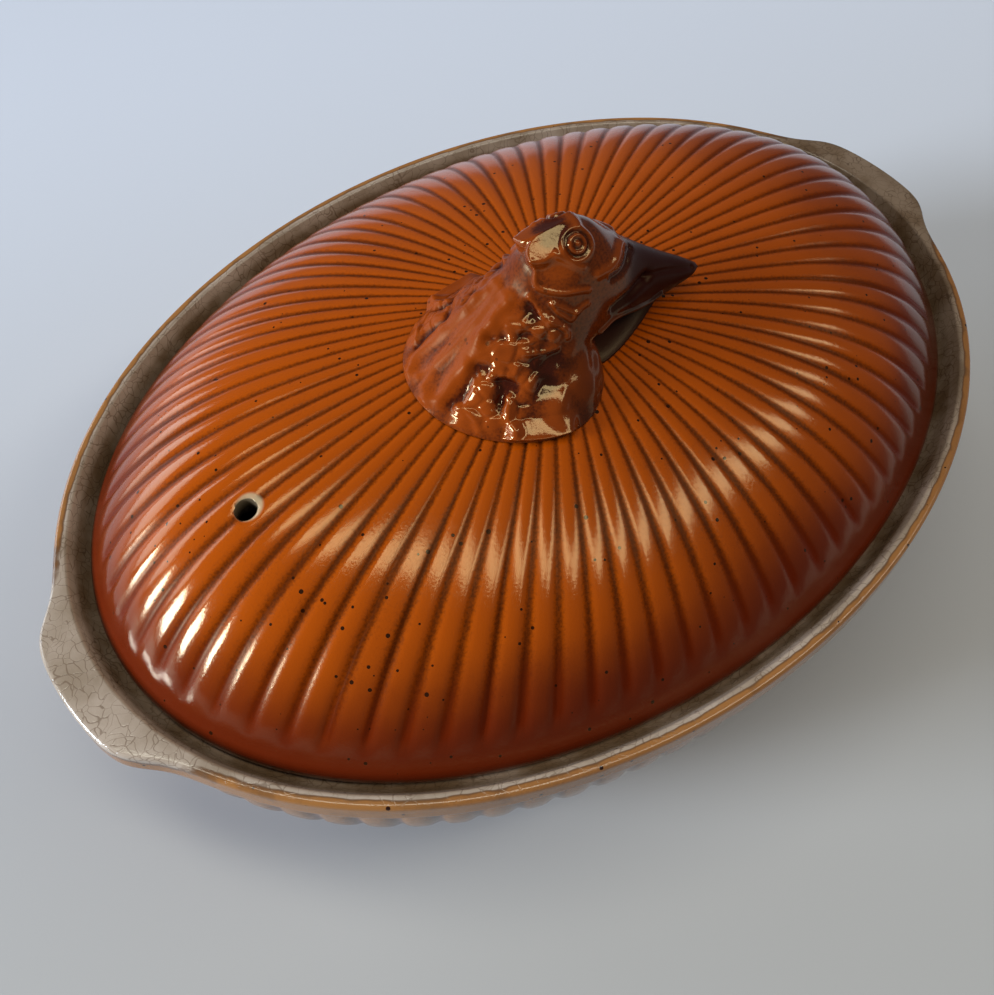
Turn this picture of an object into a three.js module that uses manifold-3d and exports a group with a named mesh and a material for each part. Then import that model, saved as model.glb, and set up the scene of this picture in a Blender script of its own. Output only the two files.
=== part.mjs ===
// Oval stoneware terrine dish: a reeded pan with two lug handles, a domed lid with 78 reeds and a
// steam hole, and a game-bird head as the lid's knob. Millimetres, +Z up. The origin is on the
// table under the middle of the dish. The long axis is X, and the bird looks towards +X.

import * as THREE from 'three';
import { mergeVertices } from 'three/addons/utils/BufferGeometryUtils.js';
import Module from 'manifold-3d';

const wasm = await Module();
wasm.setup();

// Driving dimensions of the dish
const rimLength = 280;
const rimWidth = 203;
const dishHeight = 68;
const rimBand = 7;
const bandOverhang = 1.6;
const wall = 6.5;
const floorThickness = 7;
const footDraw = 30;
const footHeight = 2.5;
const footWidth = 6;
const footRound = 1;
const wallCurve = 2.2;
const lugReach = 6.9;
const lugWidth = 45;
const lugSquareness = 7;

// The lip and the stepped seat inside it that takes the lid
const lipWidth = 3.6;
const lipRound = 1.2;
const seatDepth = 8;
const seatSlope = 3.6;
const seatWidth = 6;

// The lid
const lidPlay = 1.0;
const restGap = 0.3;
const edgeHeight = 4;
const lidThickness = 5.5;
const domeRise = 34.6;
const crownRise = 3.4;
const shoulderPower = 6;
const shoulderRound = 0.9;
const ridgePower = 1.76;
const ventDiameter = 5.4;
const ventReach = 92;

// Reeds on the lid and on the outside of the dish. Where they crowd together towards the middle
// of the lid, their depth is a share of their spacing.
const reedCount = 78;
const reedDepth = 1.3;
const reedDepthShare = 0.17;
const plainEdge = 6;
const reedFade = 4;
const bodyReedDepth = 1.1;
const bodyReedEnd = 0.5;

// The bird's head and neck
const neckRadius = 23.6;
const crownHeight = 35.2;
const beakReach = 54.6;
const frontFullness = 0.35;
const skirtShare = 0.15;
const neckSetBack = 20;
const neckSetAside = 4.5;
const headTurn = THREE.MathUtils.degToRad(-14);

// The clay that fills the corner between the breast, the beak and the lid
const filletStart = 21;
const filletReach = 23.5;
const filletWidth = 27;
const filletHeight = 12;
const filletPower = 1.4;
const filletCurve = 1.5;

// How finely the curved surfaces are divided. Shares run from the bottom of the wall to its top,
// and levels from the top of the dome to its edge.
const samplesPerReed = 4;
const samplesPerBodyReed = 3;
const plainSamples = 120;
const innerSamples = 60;
const headSamples = 36;
const headRings = 30;
const filletSamples = 24;
const filletShares = [0.75, 0.5, 0.25];
const ventSides = 24;
const wallShares = [0.06, 0.2, 0.5, 0.9];
const cavityShares = [0.8, 0.5, 0.25, 0.1, 0];
const hollowLevels = [0.2, 0.45, 0.65, 0.8, 0.9, 0.96];
const shoulderLevels = [0.985];
const reedLevels = [0.96, 0.935, 0.88, 0.8, 0.68, 0.52, 0.36];
const plainLevels = [0.2, 0.08];

// How far the middle of a quarter round lies inside its square corner, as a share of its radius
const cornerCut = 1 - Math.SQRT1_2;

const glaze = { amber: 0xa9561a, cream: 0xa89a86, darkBrown: 0x5f2412 };
const TURN = Math.PI * 2;
const smooth = (from, to, x) => THREE.MathUtils.smoothstep(x, from, to);

// Polar angles of points that divide an ellipse's edge into equal lengths
function evenAngles(semiX, semiY, count) {
  const steps = 4000;
  const angles = [0];
  const lengths = [0];
  let last = new THREE.Vector2(semiX, 0);
  for (let i = 1; i <= steps; i++) {
    const t = (i / steps) * TURN;
    const point = new THREE.Vector2(semiX * Math.cos(t), semiY * Math.sin(t));
    angles.push(i === steps ? TURN : (Math.atan2(point.y, point.x) + TURN) % TURN);
    lengths.push(lengths[i - 1] + point.distanceTo(last));
    last = point;
  }
  const result = [];
  let i = 0;
  for (let k = 0; k < count; k++) {
    const target = (k / count) * lengths[steps];
    while (lengths[i + 1] < target) i++;
    const share = (target - lengths[i]) / (lengths[i + 1] - lengths[i]);
    result.push(angles[i] + share * (angles[i + 1] - angles[i]));
  }
  return result;
}

// A closed solid skinned over a stack of rings, each a loop of points in the same turning sense.
// Neighbouring rings may have different counts. The first and last rings are closed with a fan.
function skin(rings) {
  const positions = [];
  const index = [];
  const starts = rings.map((ring) => {
    const start = positions.length / 3;
    ring.forEach((point) => positions.push(point.x, point.y, point.z));
    return start;
  });
  for (let r = 0; r + 1 < rings.length; r++) {
    const lower = rings[r].length;
    const upper = rings[r + 1].length;
    let i = 0;
    let j = 0;
    while (i < lower || j < upper) {
      const a = starts[r] + (i % lower);
      const b = starts[r + 1] + (j % upper);
      if (j >= upper || (i < lower && (i + 1) / lower <= (j + 1) / upper)) {
        index.push(a, starts[r] + ((i + 1) % lower), b);
        i++;
      } else {
        index.push(a, starts[r + 1] + ((j + 1) % upper), b);
        j++;
      }
    }
  }
  const close = (ring, start, flip) => {
    const middle = new THREE.Vector3();
    ring.forEach((point) => middle.addScaledVector(point, 1 / ring.length));
    const centre = positions.length / 3;
    positions.push(middle.x, middle.y, middle.z);
    ring.forEach((point, k) => {
      const here = start + k;
      const next = start + ((k + 1) % ring.length);
      index.push(...(flip ? [next, here, centre] : [here, next, centre]));
    });
  };
  close(rings[0], starts[0], true);
  close(rings[rings.length - 1], starts[rings.length - 1], false);
  const geometry = new THREE.BufferGeometry();
  geometry.setAttribute('position', new THREE.Float32BufferAttribute(positions, 3));
  geometry.setIndex(index);
  return geometry;
}

function toSolid(geometry) {
  const bare = geometry.clone();
  bare.deleteAttribute('normal');
  bare.deleteAttribute('uv');
  const merged = mergeVertices(bare, 1e-5);
  return new wasm.Manifold(new wasm.Mesh({
    numProp: 3,
    vertProperties: new Float32Array(merged.attributes.position.array),
    triVerts: new Uint32Array(merged.index.array),
  }));
}

function toGeometry(solid) {
  const mesh = solid.getMesh();
  const geometry = new THREE.BufferGeometry();
  geometry.setAttribute('position', new THREE.BufferAttribute(mesh.vertProperties, 3));
  geometry.setIndex(new THREE.BufferAttribute(mesh.triVerts, 1));
  return geometry;
}

function namedMesh(name, geometry, color, roughness) {
  geometry.computeVertexNormals();
  const material = new THREE.MeshStandardMaterial({ color, roughness, metalness: 0 });
  const mesh = new THREE.Mesh(geometry, material);
  mesh.name = name;
  return mesh;
}

// Depth of the groove beside a reed, from 1 in the groove to 0 on the reed's back
const grooveShape = (phase) => 1 - Math.sqrt(Math.abs(Math.sin(Math.PI * phase)));

// Angles for a ring with several samples to each reed, and the phase of each sample
function reedSamples(semiX, semiY, perReed) {
  const angles = evenAngles(semiX, semiY, reedCount * perReed);
  return angles.map((angle, k) => ({ angle, phase: (k % perReed) / perReed }));
}

const plainRing = (semiX, semiY, count) =>
  evenAngles(semiX, semiY, count).map((angle) => ({ angle, phase: 0.5 }));

// Dish

const rimSemiX = rimLength / 2;
const rimSemiY = rimWidth / 2;

// A point on a curve that runs inside the rim by the inset. The lugs push it outwards.
function rimPoint(angle, inset, height, lugs = 0) {
  const semiX = rimSemiX - inset;
  const semiY = rimSemiY - inset;
  const radius = 1 / Math.hypot(Math.cos(angle) / semiX, Math.sin(angle) / semiY);
  const point = new THREE.Vector3(radius * Math.cos(angle), radius * Math.sin(angle), height);
  const outward = new THREE.Vector3(point.x / semiX ** 2, point.y / semiY ** 2, 0).normalize();
  const push = lugReach / (1 + Math.abs(point.y / (lugWidth / 2)) ** lugSquareness);
  return point.addScaledVector(outward, lugs * push);
}

function buildDish() {
  const bodyTop = dishHeight - rimBand;
  const seatZ = dishHeight - seatDepth;
  const seatOuter = lipWidth + seatSlope;
  const seatInner = seatOuter + seatWidth;
  const footInset = bandOverhang + footDraw;
  const bodyInset = (share) => bandOverhang + footDraw * (1 - share) ** wallCurve;
  const cavityInset = (share) =>
    seatInner + (footInset + wall - seatInner) * (1 - share) ** wallCurve;
  const round = Math.min(lipRound, lipWidth / 2);
  const plain = plainRing(rimSemiX, rimSemiY, plainSamples);
  const coarse = plainRing(rimSemiX, rimSemiY, innerSamples);
  const reeded = reedSamples(rimSemiX, rimSemiY, samplesPerBodyReed);
  const ring = (samples, inset, height, lugs) =>
    samples.map(({ angle }) => rimPoint(angle, inset, height, lugs));

  const rings = [];
  // Underneath, inside the foot ring, out to its edge
  rings.push(ring(coarse, footInset + footWidth + footHeight, footHeight));
  rings.push(ring(coarse, footInset + footWidth, 0));
  rings.push(ring(coarse, footInset + footRound, 0));
  rings.push(ring(plain, footInset, footRound));
  rings.push(ring(plain, footInset, footHeight));
  // Reeded wall. The reeds start shallow above the foot.
  for (const share of wallShares) {
    const height = footHeight + share * (bodyTop - footHeight);
    const relief = bodyReedDepth * (share === wallShares[0] ? bodyReedEnd : 1);
    rings.push(reeded.map(({ angle, phase }) =>
      rimPoint(angle, bodyInset(share) + relief * grooveShape(phase), height)));
  }
  // Plain band under the rim, and the lip with its rounded corners
  rings.push(ring(plain, bandOverhang, bodyTop));
  rings.push(ring(plain, round / 2, bodyTop, 1));
  rings.push(ring(plain, 0, bodyTop + round / 2, 1));
  rings.push(ring(plain, 0, dishHeight - round, 1));
  rings.push(ring(plain, round * cornerCut, dishHeight - round * cornerCut, 1));
  rings.push(ring(plain, round, dishHeight, 1));
  rings.push(ring(plain, lipWidth - round / 2, dishHeight));
  rings.push(ring(plain, lipWidth, dishHeight - round / 2));
  // Slope down to the seat, the seat, and the inside of the dish
  rings.push(ring(plain, seatOuter, seatZ));
  rings.push(ring(coarse, seatInner, seatZ));
  for (const share of cavityShares) {
    const height = floorThickness + share * (seatZ - floorThickness);
    rings.push(ring(coarse, cavityInset(share), height));
  }
  return namedMesh('dish', skin(rings), glaze.cream, 0.4);
}

// Lid

const lidInset = lipWidth + seatSlope + lidPlay;
const lidSemiX = rimSemiX - lidInset;
const lidSemiY = rimSemiY - lidInset;
const lidBottom = dishHeight - seatDepth + restGap;
const domeBase = lidBottom + edgeHeight;

const domeHeight = (level) => domeBase
  + domeRise * (1 - level ** shoulderPower) ** shoulderRound
  + crownRise * (1 - level ** 2) ** 3;

// Distance from the middle to the level line of the dome, 0 at the top and 1 at the edge.
// The lines draw in faster across the lid than along it, so that the dome keeps a long back.
function levelRadius(angle, level) {
  return 1 / Math.hypot(
    Math.cos(angle) / (lidSemiX * level),
    Math.sin(angle) / (lidSemiY * level ** ridgePower),
  );
}

// The dome's height above any point of the plan, found by halving the range of levels
function domeHeightAt(x, y) {
  const radius = Math.hypot(x, y);
  const angle = Math.atan2(y, x);
  let low = 1e-4;
  let high = 1;
  for (let i = 0; i < 30; i++) {
    const middle = (low + high) / 2;
    if (levelRadius(angle, middle) < radius) low = middle;
    else high = middle;
  }
  return domeHeight((low + high) / 2);
}

// A point of the dome, sunk square to its section by the depth
function domePoint(angle, level, depth) {
  const step = 1e-3;
  const inner = Math.max(level - step, 1e-3);
  const run = levelRadius(angle, level) - levelRadius(angle, inner);
  const drop = domeHeight(inner) - domeHeight(level);
  const slope = Math.atan2(drop, run);
  const radius = levelRadius(angle, level) - depth * Math.sin(slope);
  return new THREE.Vector3(
    radius * Math.cos(angle),
    radius * Math.sin(angle),
    domeHeight(level) - depth * Math.cos(slope),
  );
}

function buildLid() {
  const reeded = reedSamples(lidSemiX, lidSemiY, samplesPerReed);
  const plain = plainRing(lidSemiX, lidSemiY, plainSamples);
  const coarse = plainRing(lidSemiX, lidSemiY, innerSamples);
  const dome = (samples, level, depth) =>
    samples.map(({ angle }) => domePoint(angle, level, depth));
  const edge = (samples, inset, height) => samples.map(({ angle }) => {
    const radius = levelRadius(angle, 1) - inset;
    return new THREE.Vector3(radius * Math.cos(angle), radius * Math.sin(angle), height);
  });

  const rings = [];
  // The underside, from the middle of the hollow out to the edge
  for (const level of hollowLevels) rings.push(dome(coarse, level, lidThickness));
  rings.push(edge(coarse, lidThickness, domeBase));
  rings.push(edge(coarse, lidThickness, lidBottom));
  rings.push(edge(plain, 0, lidBottom));
  rings.push(edge(plain, 0, domeBase));
  for (const level of shoulderLevels) rings.push(dome(plain, level, 0));
  // The reeded dome
  for (const level of reedLevels) {
    rings.push(reeded.map(({ angle, phase }) => {
      const radius = levelRadius(angle, level);
      const fromEdge = levelRadius(angle, 1) - radius;
      const spacing = (TURN * radius) / reedCount;
      const end = smooth(plainEdge - reedFade, plainEdge, fromEdge);
      const depth = Math.min(reedDepth, reedDepthShare * spacing) * end;
      return domePoint(angle, level, depth * grooveShape(phase));
    }));
  }
  for (const level of plainLevels) rings.push(dome(coarse, level, 0));

  const shell = toSolid(skin(rings));
  const drillLength = 4 * lidThickness;
  const drill = new THREE.CylinderGeometry(ventDiameter / 2, ventDiameter / 2, drillLength, ventSides);
  drill.rotateX(Math.PI / 2);
  drill.translate(-ventReach, 0, domeHeightAt(-ventReach, 0) - lidThickness / 2);
  return namedMesh('lid', toGeometry(shell.subtract(toSolid(drill))), glaze.amber, 0.25);
}

// Bird's head: sections from the foot of the neck to the tip of the beak. Each gives a point of
// the back outline and one of the front outline in the mirror plane, as shares of the beak's reach
// and of the crown's height. The half width and the section's shift to the side are shares of the
// neck's radius.
const headSections = [
  { back: [-0.458, 0.000], front: [0.399, 0.000], half: 1.000, aside: -0.085 },
  { back: [-0.381, 0.068], front: [0.396, 0.045], half: 0.898, aside: -0.068 },
  { back: [-0.304, 0.165], front: [0.392, 0.091], half: 0.771, aside: -0.047 },
  { back: [-0.183, 0.335], front: [0.390, 0.131], half: 0.653, aside: -0.025 },
  { back: [-0.073, 0.489], front: [0.403, 0.153], half: 0.568, aside: -0.008 },
  { back: [0.020, 0.634], front: [0.443, 0.136], half: 0.517, aside: 0.000 },
  { back: [0.081, 0.795], front: [0.487, 0.108], half: 0.475, aside: 0.000 },
  { back: [0.152, 0.949], front: [0.535, 0.080], half: 0.432, aside: 0.000 },
  { back: [0.264, 1.000], front: [0.582, 0.060], half: 0.407, aside: 0.000 },
  { back: [0.386, 0.926], front: [0.636, 0.045], half: 0.369, aside: 0.000 },
  { back: [0.498, 0.773], front: [0.694, 0.043], half: 0.305, aside: 0.000 },
  { back: [0.621, 0.602], front: [0.762, 0.051], half: 0.237, aside: 0.000 },
  { back: [0.788, 0.403], front: [0.853, 0.074], half: 0.169, aside: 0.000 },
  { back: [0.930, 0.250], front: [0.956, 0.111], half: 0.102, aside: 0.000 },
  { back: [0.996, 0.170], front: [1.000, 0.148], half: 0.034, aside: 0.000 },
];

// A point of the plan, from the bird's own frame to the lid's
const turned = (along, aside) => new THREE.Vector2(along, aside)
  .rotateAround(new THREE.Vector2(), headTurn)
  .add(new THREE.Vector2(-neckSetBack, -neckSetAside));

const seatAt = (x, y) => domeHeightAt(x, y) + restGap;

// Loops under a part that rests on the dome, drawn in from its outline to a middle
const underside = (outline, middle, share) => outline.map((point) => {
  const x = THREE.MathUtils.lerp(middle.x, point.x, share);
  const y = THREE.MathUtils.lerp(middle.y, point.y, share);
  return new THREE.Vector3(x, y, seatAt(x, y));
});

function buildNeckAndHead() {
  const curve = (pick) =>
    new THREE.CatmullRomCurve3(headSections.map(pick), false, 'catmullrom', 0.5);
  const outline = (side) => curve((section) =>
    new THREE.Vector3(section[side][0] * beakReach, 0, section[side][1] * crownHeight));
  const back = outline('back');
  const front = outline('front');
  const across = curve((section) =>
    new THREE.Vector3(section.half * neckRadius, section.aside * neckRadius, 0));
  const top = seatAt(-neckSetBack, -neckSetAside);

  // A section is an oval that is fuller towards its front
  const section = (share, height) => {
    const b = back.getPoint(share);
    const f = front.getPoint(share);
    const { x: half, y: aside } = across.getPoint(share);
    const ring = [];
    for (let k = 0; k < headSamples; k++) {
      const turn = (k / headSamples) * TURN;
      const along = (f.x + b.x) / 2 + ((f.x - b.x) / 2) * Math.cos(turn);
      const up = (f.z + b.z) / 2 + ((f.z - b.z) / 2) * Math.cos(turn);
      const fullness = 1 + frontFullness * Math.cos(turn / 2) ** 4;
      const place = turned(along, aside + half * fullness * Math.sin(turn));
      ring.push(new THREE.Vector3(place.x, place.y, height(place, up)));
    }
    return ring;
  };

  // The underside follows the dome, and so does the skirt of the neck
  const outer = section(0, (place) => seatAt(place.x, place.y));
  const foot = turned(0, 0);
  const rings = [underside(outer, foot, 1 / 3), underside(outer, foot, 2 / 3), outer];
  for (let k = 1; k <= headRings; k++) {
    const share = k / headRings;
    const settle = 1 - smooth(0, skirtShare, share);
    rings.push(section(share, (place, up) =>
      top + up + settle * (seatAt(place.x, place.y) - top)));
  }
  return toSolid(skin(rings));
}

// A low mound on the dome. Its outline narrows in a curve from the breast to a point.
function buildBeakFillet() {
  const middle = turned(filletStart, 0);
  const outline = [];
  for (let k = 0; k < filletSamples; k++) {
    const turn = (k / filletSamples) * TURN;
    const cos = Math.cos(turn);
    const sin = Math.sin(turn);
    const reach = cos > 0 ? filletReach : filletWidth / 2;
    const along = reach * Math.sign(cos) * Math.abs(cos) ** filletCurve;
    const place = turned(filletStart + along, (filletWidth / 2) * Math.sign(sin) * sin ** 2);
    outline.push(new THREE.Vector3(place.x, place.y, seatAt(place.x, place.y)));
  }
  const rings = [underside(outline, middle, 1 / 2), outline];
  for (const share of filletShares) {
    const rise = filletHeight * (1 - share) ** filletPower;
    rings.push(underside(outline, middle, share).map((point) =>
      point.add(new THREE.Vector3(0, 0, rise))));
  }
  return toSolid(skin(rings));
}

function buildBirdHead() {
  const solid = buildNeckAndHead().add(buildBeakFillet());
  return namedMesh('bird_head_knob', toGeometry(solid), glaze.darkBrown, 0.25);
}

const terrine = new THREE.Group();
terrine.add(buildDish());
terrine.add(buildLid());
terrine.add(buildBirdHead());

export default terrine;
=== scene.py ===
# %% [markdown]
# # An oval terrine dish with a bird's head on its lid
#
# The real object is a stoneware dish for potted meat. Its wall and its domed lid are pressed in
# moulds that leave long rounded reeds, and a small bird's head, pressed in a mould of its own,
# serves as the handle. The outside wears a shiny amber glaze that turns red and dark where it
# lies thick or was fired hardest; the rim and the inside wear a pale glaze that has crackled.
#
# This lesson starts from a plain measured model of the dish and dresses it: finer surfaces for
# its pieces, glazes made from shader nodes, four lamps and a camera. All the pieces are surfaces
# that numpy works out on grids, so that every form is a short formula.

# %% Load the measured model
import math

import bpy
import numpy as np
from mathutils import Euler, Matrix, Vector


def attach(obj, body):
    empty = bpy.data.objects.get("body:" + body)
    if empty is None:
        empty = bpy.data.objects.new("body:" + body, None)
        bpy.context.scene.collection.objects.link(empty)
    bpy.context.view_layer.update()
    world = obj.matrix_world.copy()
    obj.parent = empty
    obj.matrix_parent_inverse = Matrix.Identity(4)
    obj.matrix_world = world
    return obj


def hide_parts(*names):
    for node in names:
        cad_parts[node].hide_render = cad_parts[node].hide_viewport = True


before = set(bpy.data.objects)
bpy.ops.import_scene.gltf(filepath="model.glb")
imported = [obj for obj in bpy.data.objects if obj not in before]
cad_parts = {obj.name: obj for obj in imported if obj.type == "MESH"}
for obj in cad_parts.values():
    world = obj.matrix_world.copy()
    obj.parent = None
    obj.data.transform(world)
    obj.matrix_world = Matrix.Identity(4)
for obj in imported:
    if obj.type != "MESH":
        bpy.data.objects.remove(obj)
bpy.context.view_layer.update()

# %% [markdown]
# ## Shared measures
#
# The pieces fit each other, so the numbers that they share come first, in millimetres, as a
# potter would write them down: the oval of the rim, the step inside it that carries the lid, and
# the count of reeds. Typed in wherever they are used, one change would mean a search through the
# whole file. Blender works in metres, and the meshes are scaled only when they are made.

# %% Measures
MM = 0.001
RIM = np.array([140.0, 101.5])
DISH_HEIGHT = 68.0
RIM_BAND = 7.0
BAND_OVERHANG = 1.6
WALL = 6.5
FLOOR = 7.0
FOOT_DRAW = 30.0
FOOT_HEIGHT = 2.5
FOOT_WIDTH = 6.0
WALL_CURVE = 2.2
LIP_WIDTH = 3.6
LIP_ROUND = 1.2
SEAT_DEPTH = 8.0
SEAT_SLOPE = 3.6
SEAT_WIDTH = 6.0
LID_PLAY = 1.0
REST_GAP = 0.3
REEDS = 78
LID = RIM - (LIP_WIDTH + SEAT_SLOPE + LID_PLAY)
LID_BOTTOM = DISH_HEIGHT - SEAT_DEPTH + REST_GAP
LID_THICKNESS = 5.5
DOME_BASE = LID_BOTTOM + 4.0
TURN = 2 * math.pi
print("lid", LID * 2, "mm across, its edge rests at", LID_BOTTOM, "mm")

# %% [markdown]
# ## Rings into meshes
#
# Blender's own cylinders and spheres could be pushed into these shapes by hand. It is shorter to
# let a formula give all the points at once, so every piece here is a stack of rings with the same
# number of points, closed at both ends by a fan of triangles round a pole. One helper turns such
# a stack, an array of ring by column by xyz, into a mesh. It fills Blender's arrays directly with
# foreach_set, which is far quicker than adding vertices one by one. A second helper finds the
# outward direction at each point of a stack, so that a surface can be pressed in or raised
# square to itself.


# %% Mesh helpers
def smooth(low, high, x):
    """0 below low and 1 above high, with a soft S curve between: 3t squared minus 2t cubed."""
    t = np.clip((x - low) / (high - low), 0, 1)
    return t * t * (3 - 2 * t)


def outward(rings):
    """The direction square to the surface: the cross product of the step to the next column and
    the step to the next ring, scaled to length one."""
    across = np.roll(rings, -1, axis=1) - np.roll(rings, 1, axis=1)
    along = np.gradient(rings, axis=0)
    square = np.cross(across, along)
    return square / (np.linalg.norm(square, axis=-1, keepdims=True) + 1e-12)


def piece_from_rings(name, rings, material, **values):
    """A closed mesh: a quad between each pair of neighbours on two rings, and a pole in the
    middle of the first and of the last ring. Extra values become attributes of its points."""
    count, columns = rings.shape[:2]
    body = rings.reshape(-1, 3)
    poles = rings[[0, -1]].mean(axis=1)
    points = np.vstack([body, poles]) * MM
    index = np.arange(count * columns).reshape(count, columns)
    beside = np.roll(index, -1, axis=1)
    quads = np.stack([index[:-1], beside[:-1], beside[1:], index[1:]], axis=-1).reshape(-1, 4)
    first = np.stack([beside[0], index[0], np.full(columns, count * columns)], axis=-1)
    last = np.stack([index[-1], beside[-1], np.full(columns, count * columns + 1)], axis=-1)
    corners = np.concatenate([quads.ravel(), first.ravel(), last.ravel()])
    sizes = np.concatenate([np.full(len(quads), 4), np.full(2 * columns, 3)])
    mesh = bpy.data.meshes.new(name)
    mesh.vertices.add(len(points))
    mesh.vertices.foreach_set("co", points.astype(np.float32).ravel())
    mesh.loops.add(len(corners))
    mesh.loops.foreach_set("vertex_index", corners.astype(np.int32))
    mesh.polygons.add(len(sizes))
    mesh.polygons.foreach_set("loop_start", (np.cumsum(sizes) - sizes).astype(np.int32))
    mesh.polygons.foreach_set("use_smooth", np.ones(len(sizes), bool))
    mesh.update(calc_edges=True)
    for key, field in values.items():
        layer = mesh.attributes.new(key, "FLOAT", "POINT")
        ends = [field[0].mean(), field[-1].mean()]
        layer.data.foreach_set("value", np.append(field.ravel(), ends).astype(np.float32))
    mesh.materials.append(material)
    piece = bpy.data.objects.new(name, mesh)
    bpy.context.scene.collection.objects.link(piece)
    print(name, "has", int((sizes - 2).sum()), "triangles")
    return piece


print("the soft step is at", float(smooth(0.0, 1.0, 0.25)), "after a quarter of the way")

# %% [markdown]
# ## Where the reeds run
#
# The mould maker stepped equal distances round the oval edge and drew a straight line from each
# mark to the middle. Equal angles would be simpler to write, but the reeds at the oval's ends
# would come out wider than those at its sides. So a table of the edge's length against the angle
# is read backwards, which gives the angle of any share of the way round. The columns of each grid
# stand closer beside a groove than on a reed's back, where little happens.


# %% Reed columns
STEPS_PER_REED = 10
GROOVE_POWER = 2.4
CROWDING = 0.4
DARK_POWER = 1.25


def polar_angles(semi, shares):
    """The polar angle of the point at each share of an oval's edge: short chords are added up,
    and the table of lengths is read backwards."""
    steps = np.linspace(0, TURN, 20001)
    x, y = semi[0] * np.cos(steps), semi[1] * np.sin(steps)
    length = np.append(0, np.cumsum(np.hypot(np.diff(x), np.diff(y))))
    return np.interp(np.asarray(shares) * length[-1], length, np.unwrap(np.arctan2(y, x)))


def groove(phase):
    """1 in a groove and 0 on a reed's back: a wave, half of one plus the cosine, to a power that
    leaves the back broad and the groove narrower but still round."""
    return ((1 + np.cos(TURN * phase)) / 2) ** GROOVE_POWER


step = np.arange(STEPS_PER_REED) / STEPS_PER_REED
# A sine taken off the even steps draws the columns towards the groove
one_reed = step - CROWDING / TURN * np.sin(TURN * step)
reed_phase = np.tile(one_reed, REEDS)
reed_number = np.repeat(np.arange(REEDS), STEPS_PER_REED)
reed_share = (reed_number + reed_phase) / REEDS
reed_groove = groove(reed_phase)
reed_dark = reed_groove**DARK_POWER
print(REEDS, "reeds on", len(reed_share), "columns")

# %% [markdown]
# ## The dome of the lid
#
# A squashed half sphere would be the quick way, but the real lid is nearly flat on top, steep at
# the shoulder, and keeps a long back, because its level lines draw in faster across the lid than
# along it. So the dome is built on levels, numbers from 0 in the middle to 1 at the edge. One
# formula gives the height at a level and another the distance of that level line from the
# middle, and halving an interval finds the level of any point of the plan.


# %% Dome formulas
SHOULDER_RISE = 34.6
CROWN_RISE = 3.4
ACROSS_POWER = 1.76


def dome_height(level):
    """The edge's height, plus the shoulder, which is one minus the sixth power of the level, to
    the power 0.9, plus a low crown, which is the cube of one minus the level squared."""
    level = np.clip(level, 0, 1)
    shoulder = SHOULDER_RISE * (1 - level**6) ** 0.9
    crown = CROWN_RISE * (1 - level**2) ** 3
    return DOME_BASE + shoulder + crown


def level_reach(angle, level):
    """The distance of a level line from the middle: that of an ellipse whose two half axes are
    the lid's, times the level along it and a power of the level across it."""
    along, across = LID[0] * level, LID[1] * level**ACROSS_POWER
    return 1 / np.hypot(np.cos(angle) / along, np.sin(angle) / across)


def level_at(x, y):
    """The level of points of the plan, found by halving the range from 0 to 1 thirty times."""
    reach, angle = np.hypot(x, y), np.arctan2(y, x)
    low, high = np.full(reach.shape, 1e-4), np.ones(reach.shape)
    for _ in range(30):
        middle = (low + high) / 2
        inside = level_reach(angle, middle) < reach
        low, high = np.where(inside, middle, low), np.where(inside, high, middle)
    return (low + high) / 2


def dome_above(x, y):
    """The height of the bare dome above points of the plan: the height of their level."""
    return dome_height(level_at(np.asarray(x, float), np.asarray(y, float)))


print("top of the dome", float(dome_above(0.0, 0.0)), "mm")

# %% [markdown]
# ## Rings for the lid
#
# Even steps of the level would leave too few rings on the shoulder, where the surface drops
# steeply. The rings are set at even distances along the surface instead, and closer together at
# two places where something small happens: the ends of the reeds and the steam hole.


# %% Levels and rings of the dome
LID_RINGS = 96
INNERMOST_LEVEL = 0.03
VENT = np.array([-92.0, 0.0])
VENT_RADIUS = 2.7
# distance from the edge, half width and closeness at the ends of the reeds and at the steam hole
CLOSE_SPOTS = [(7, 4, 2.0), (58, 6, 2.2)]


def spaced_levels(count, low, high, spots):
    """Levels for rings at even distances along the dome's long section, measured on the surface.
    Round each spot (distance from the edge, half width, closeness) the rings stand closer."""
    fine = 1 - np.linspace(0, 1, 4001) ** 2 * (1 - low)
    fine = fine[fine <= high]
    x, z = LID[0] * fine, dome_height(fine)
    length = np.append(0, np.cumsum(np.hypot(np.diff(x), np.diff(z))))
    weight = np.ones(len(fine))
    for place, half, closeness in spots:
        weight += closeness * np.exp(-(((length - place) / half) ** 2))
    total = np.append(0, np.cumsum((weight[1:] + weight[:-1]) / 2 * np.diff(length)))
    return np.interp(np.linspace(0, total[-1], count), total, fine)


def dome_rings(angles, levels):
    """Points of the bare dome for each level and angle."""
    angle, level = np.meshgrid(angles, levels)
    reach = level_reach(angle, level)
    return np.stack([reach * np.cos(angle), reach * np.sin(angle), dome_height(level)], axis=-1)


lid_angles = polar_angles(LID, reed_share)
lid_levels = spaced_levels(LID_RINGS, INNERMOST_LEVEL, 1.0, CLOSE_SPOTS)
print(len(lid_levels), "levels over the dome")

# %% [markdown]
# ## The reeded lid
#
# The grooves could be cut one by one with booleans, or only faked with a bump. Here a formula
# presses them into the surface, square to the dome, so they stay soft and show in the outline.
# They fade out before the edge, where the reeds end rounded above a plain band, and grow shallow
# where they crowd together in the middle. No two reeds of a hand-finished mould are quite alike,
# so each groove gets its own depth.


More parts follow.
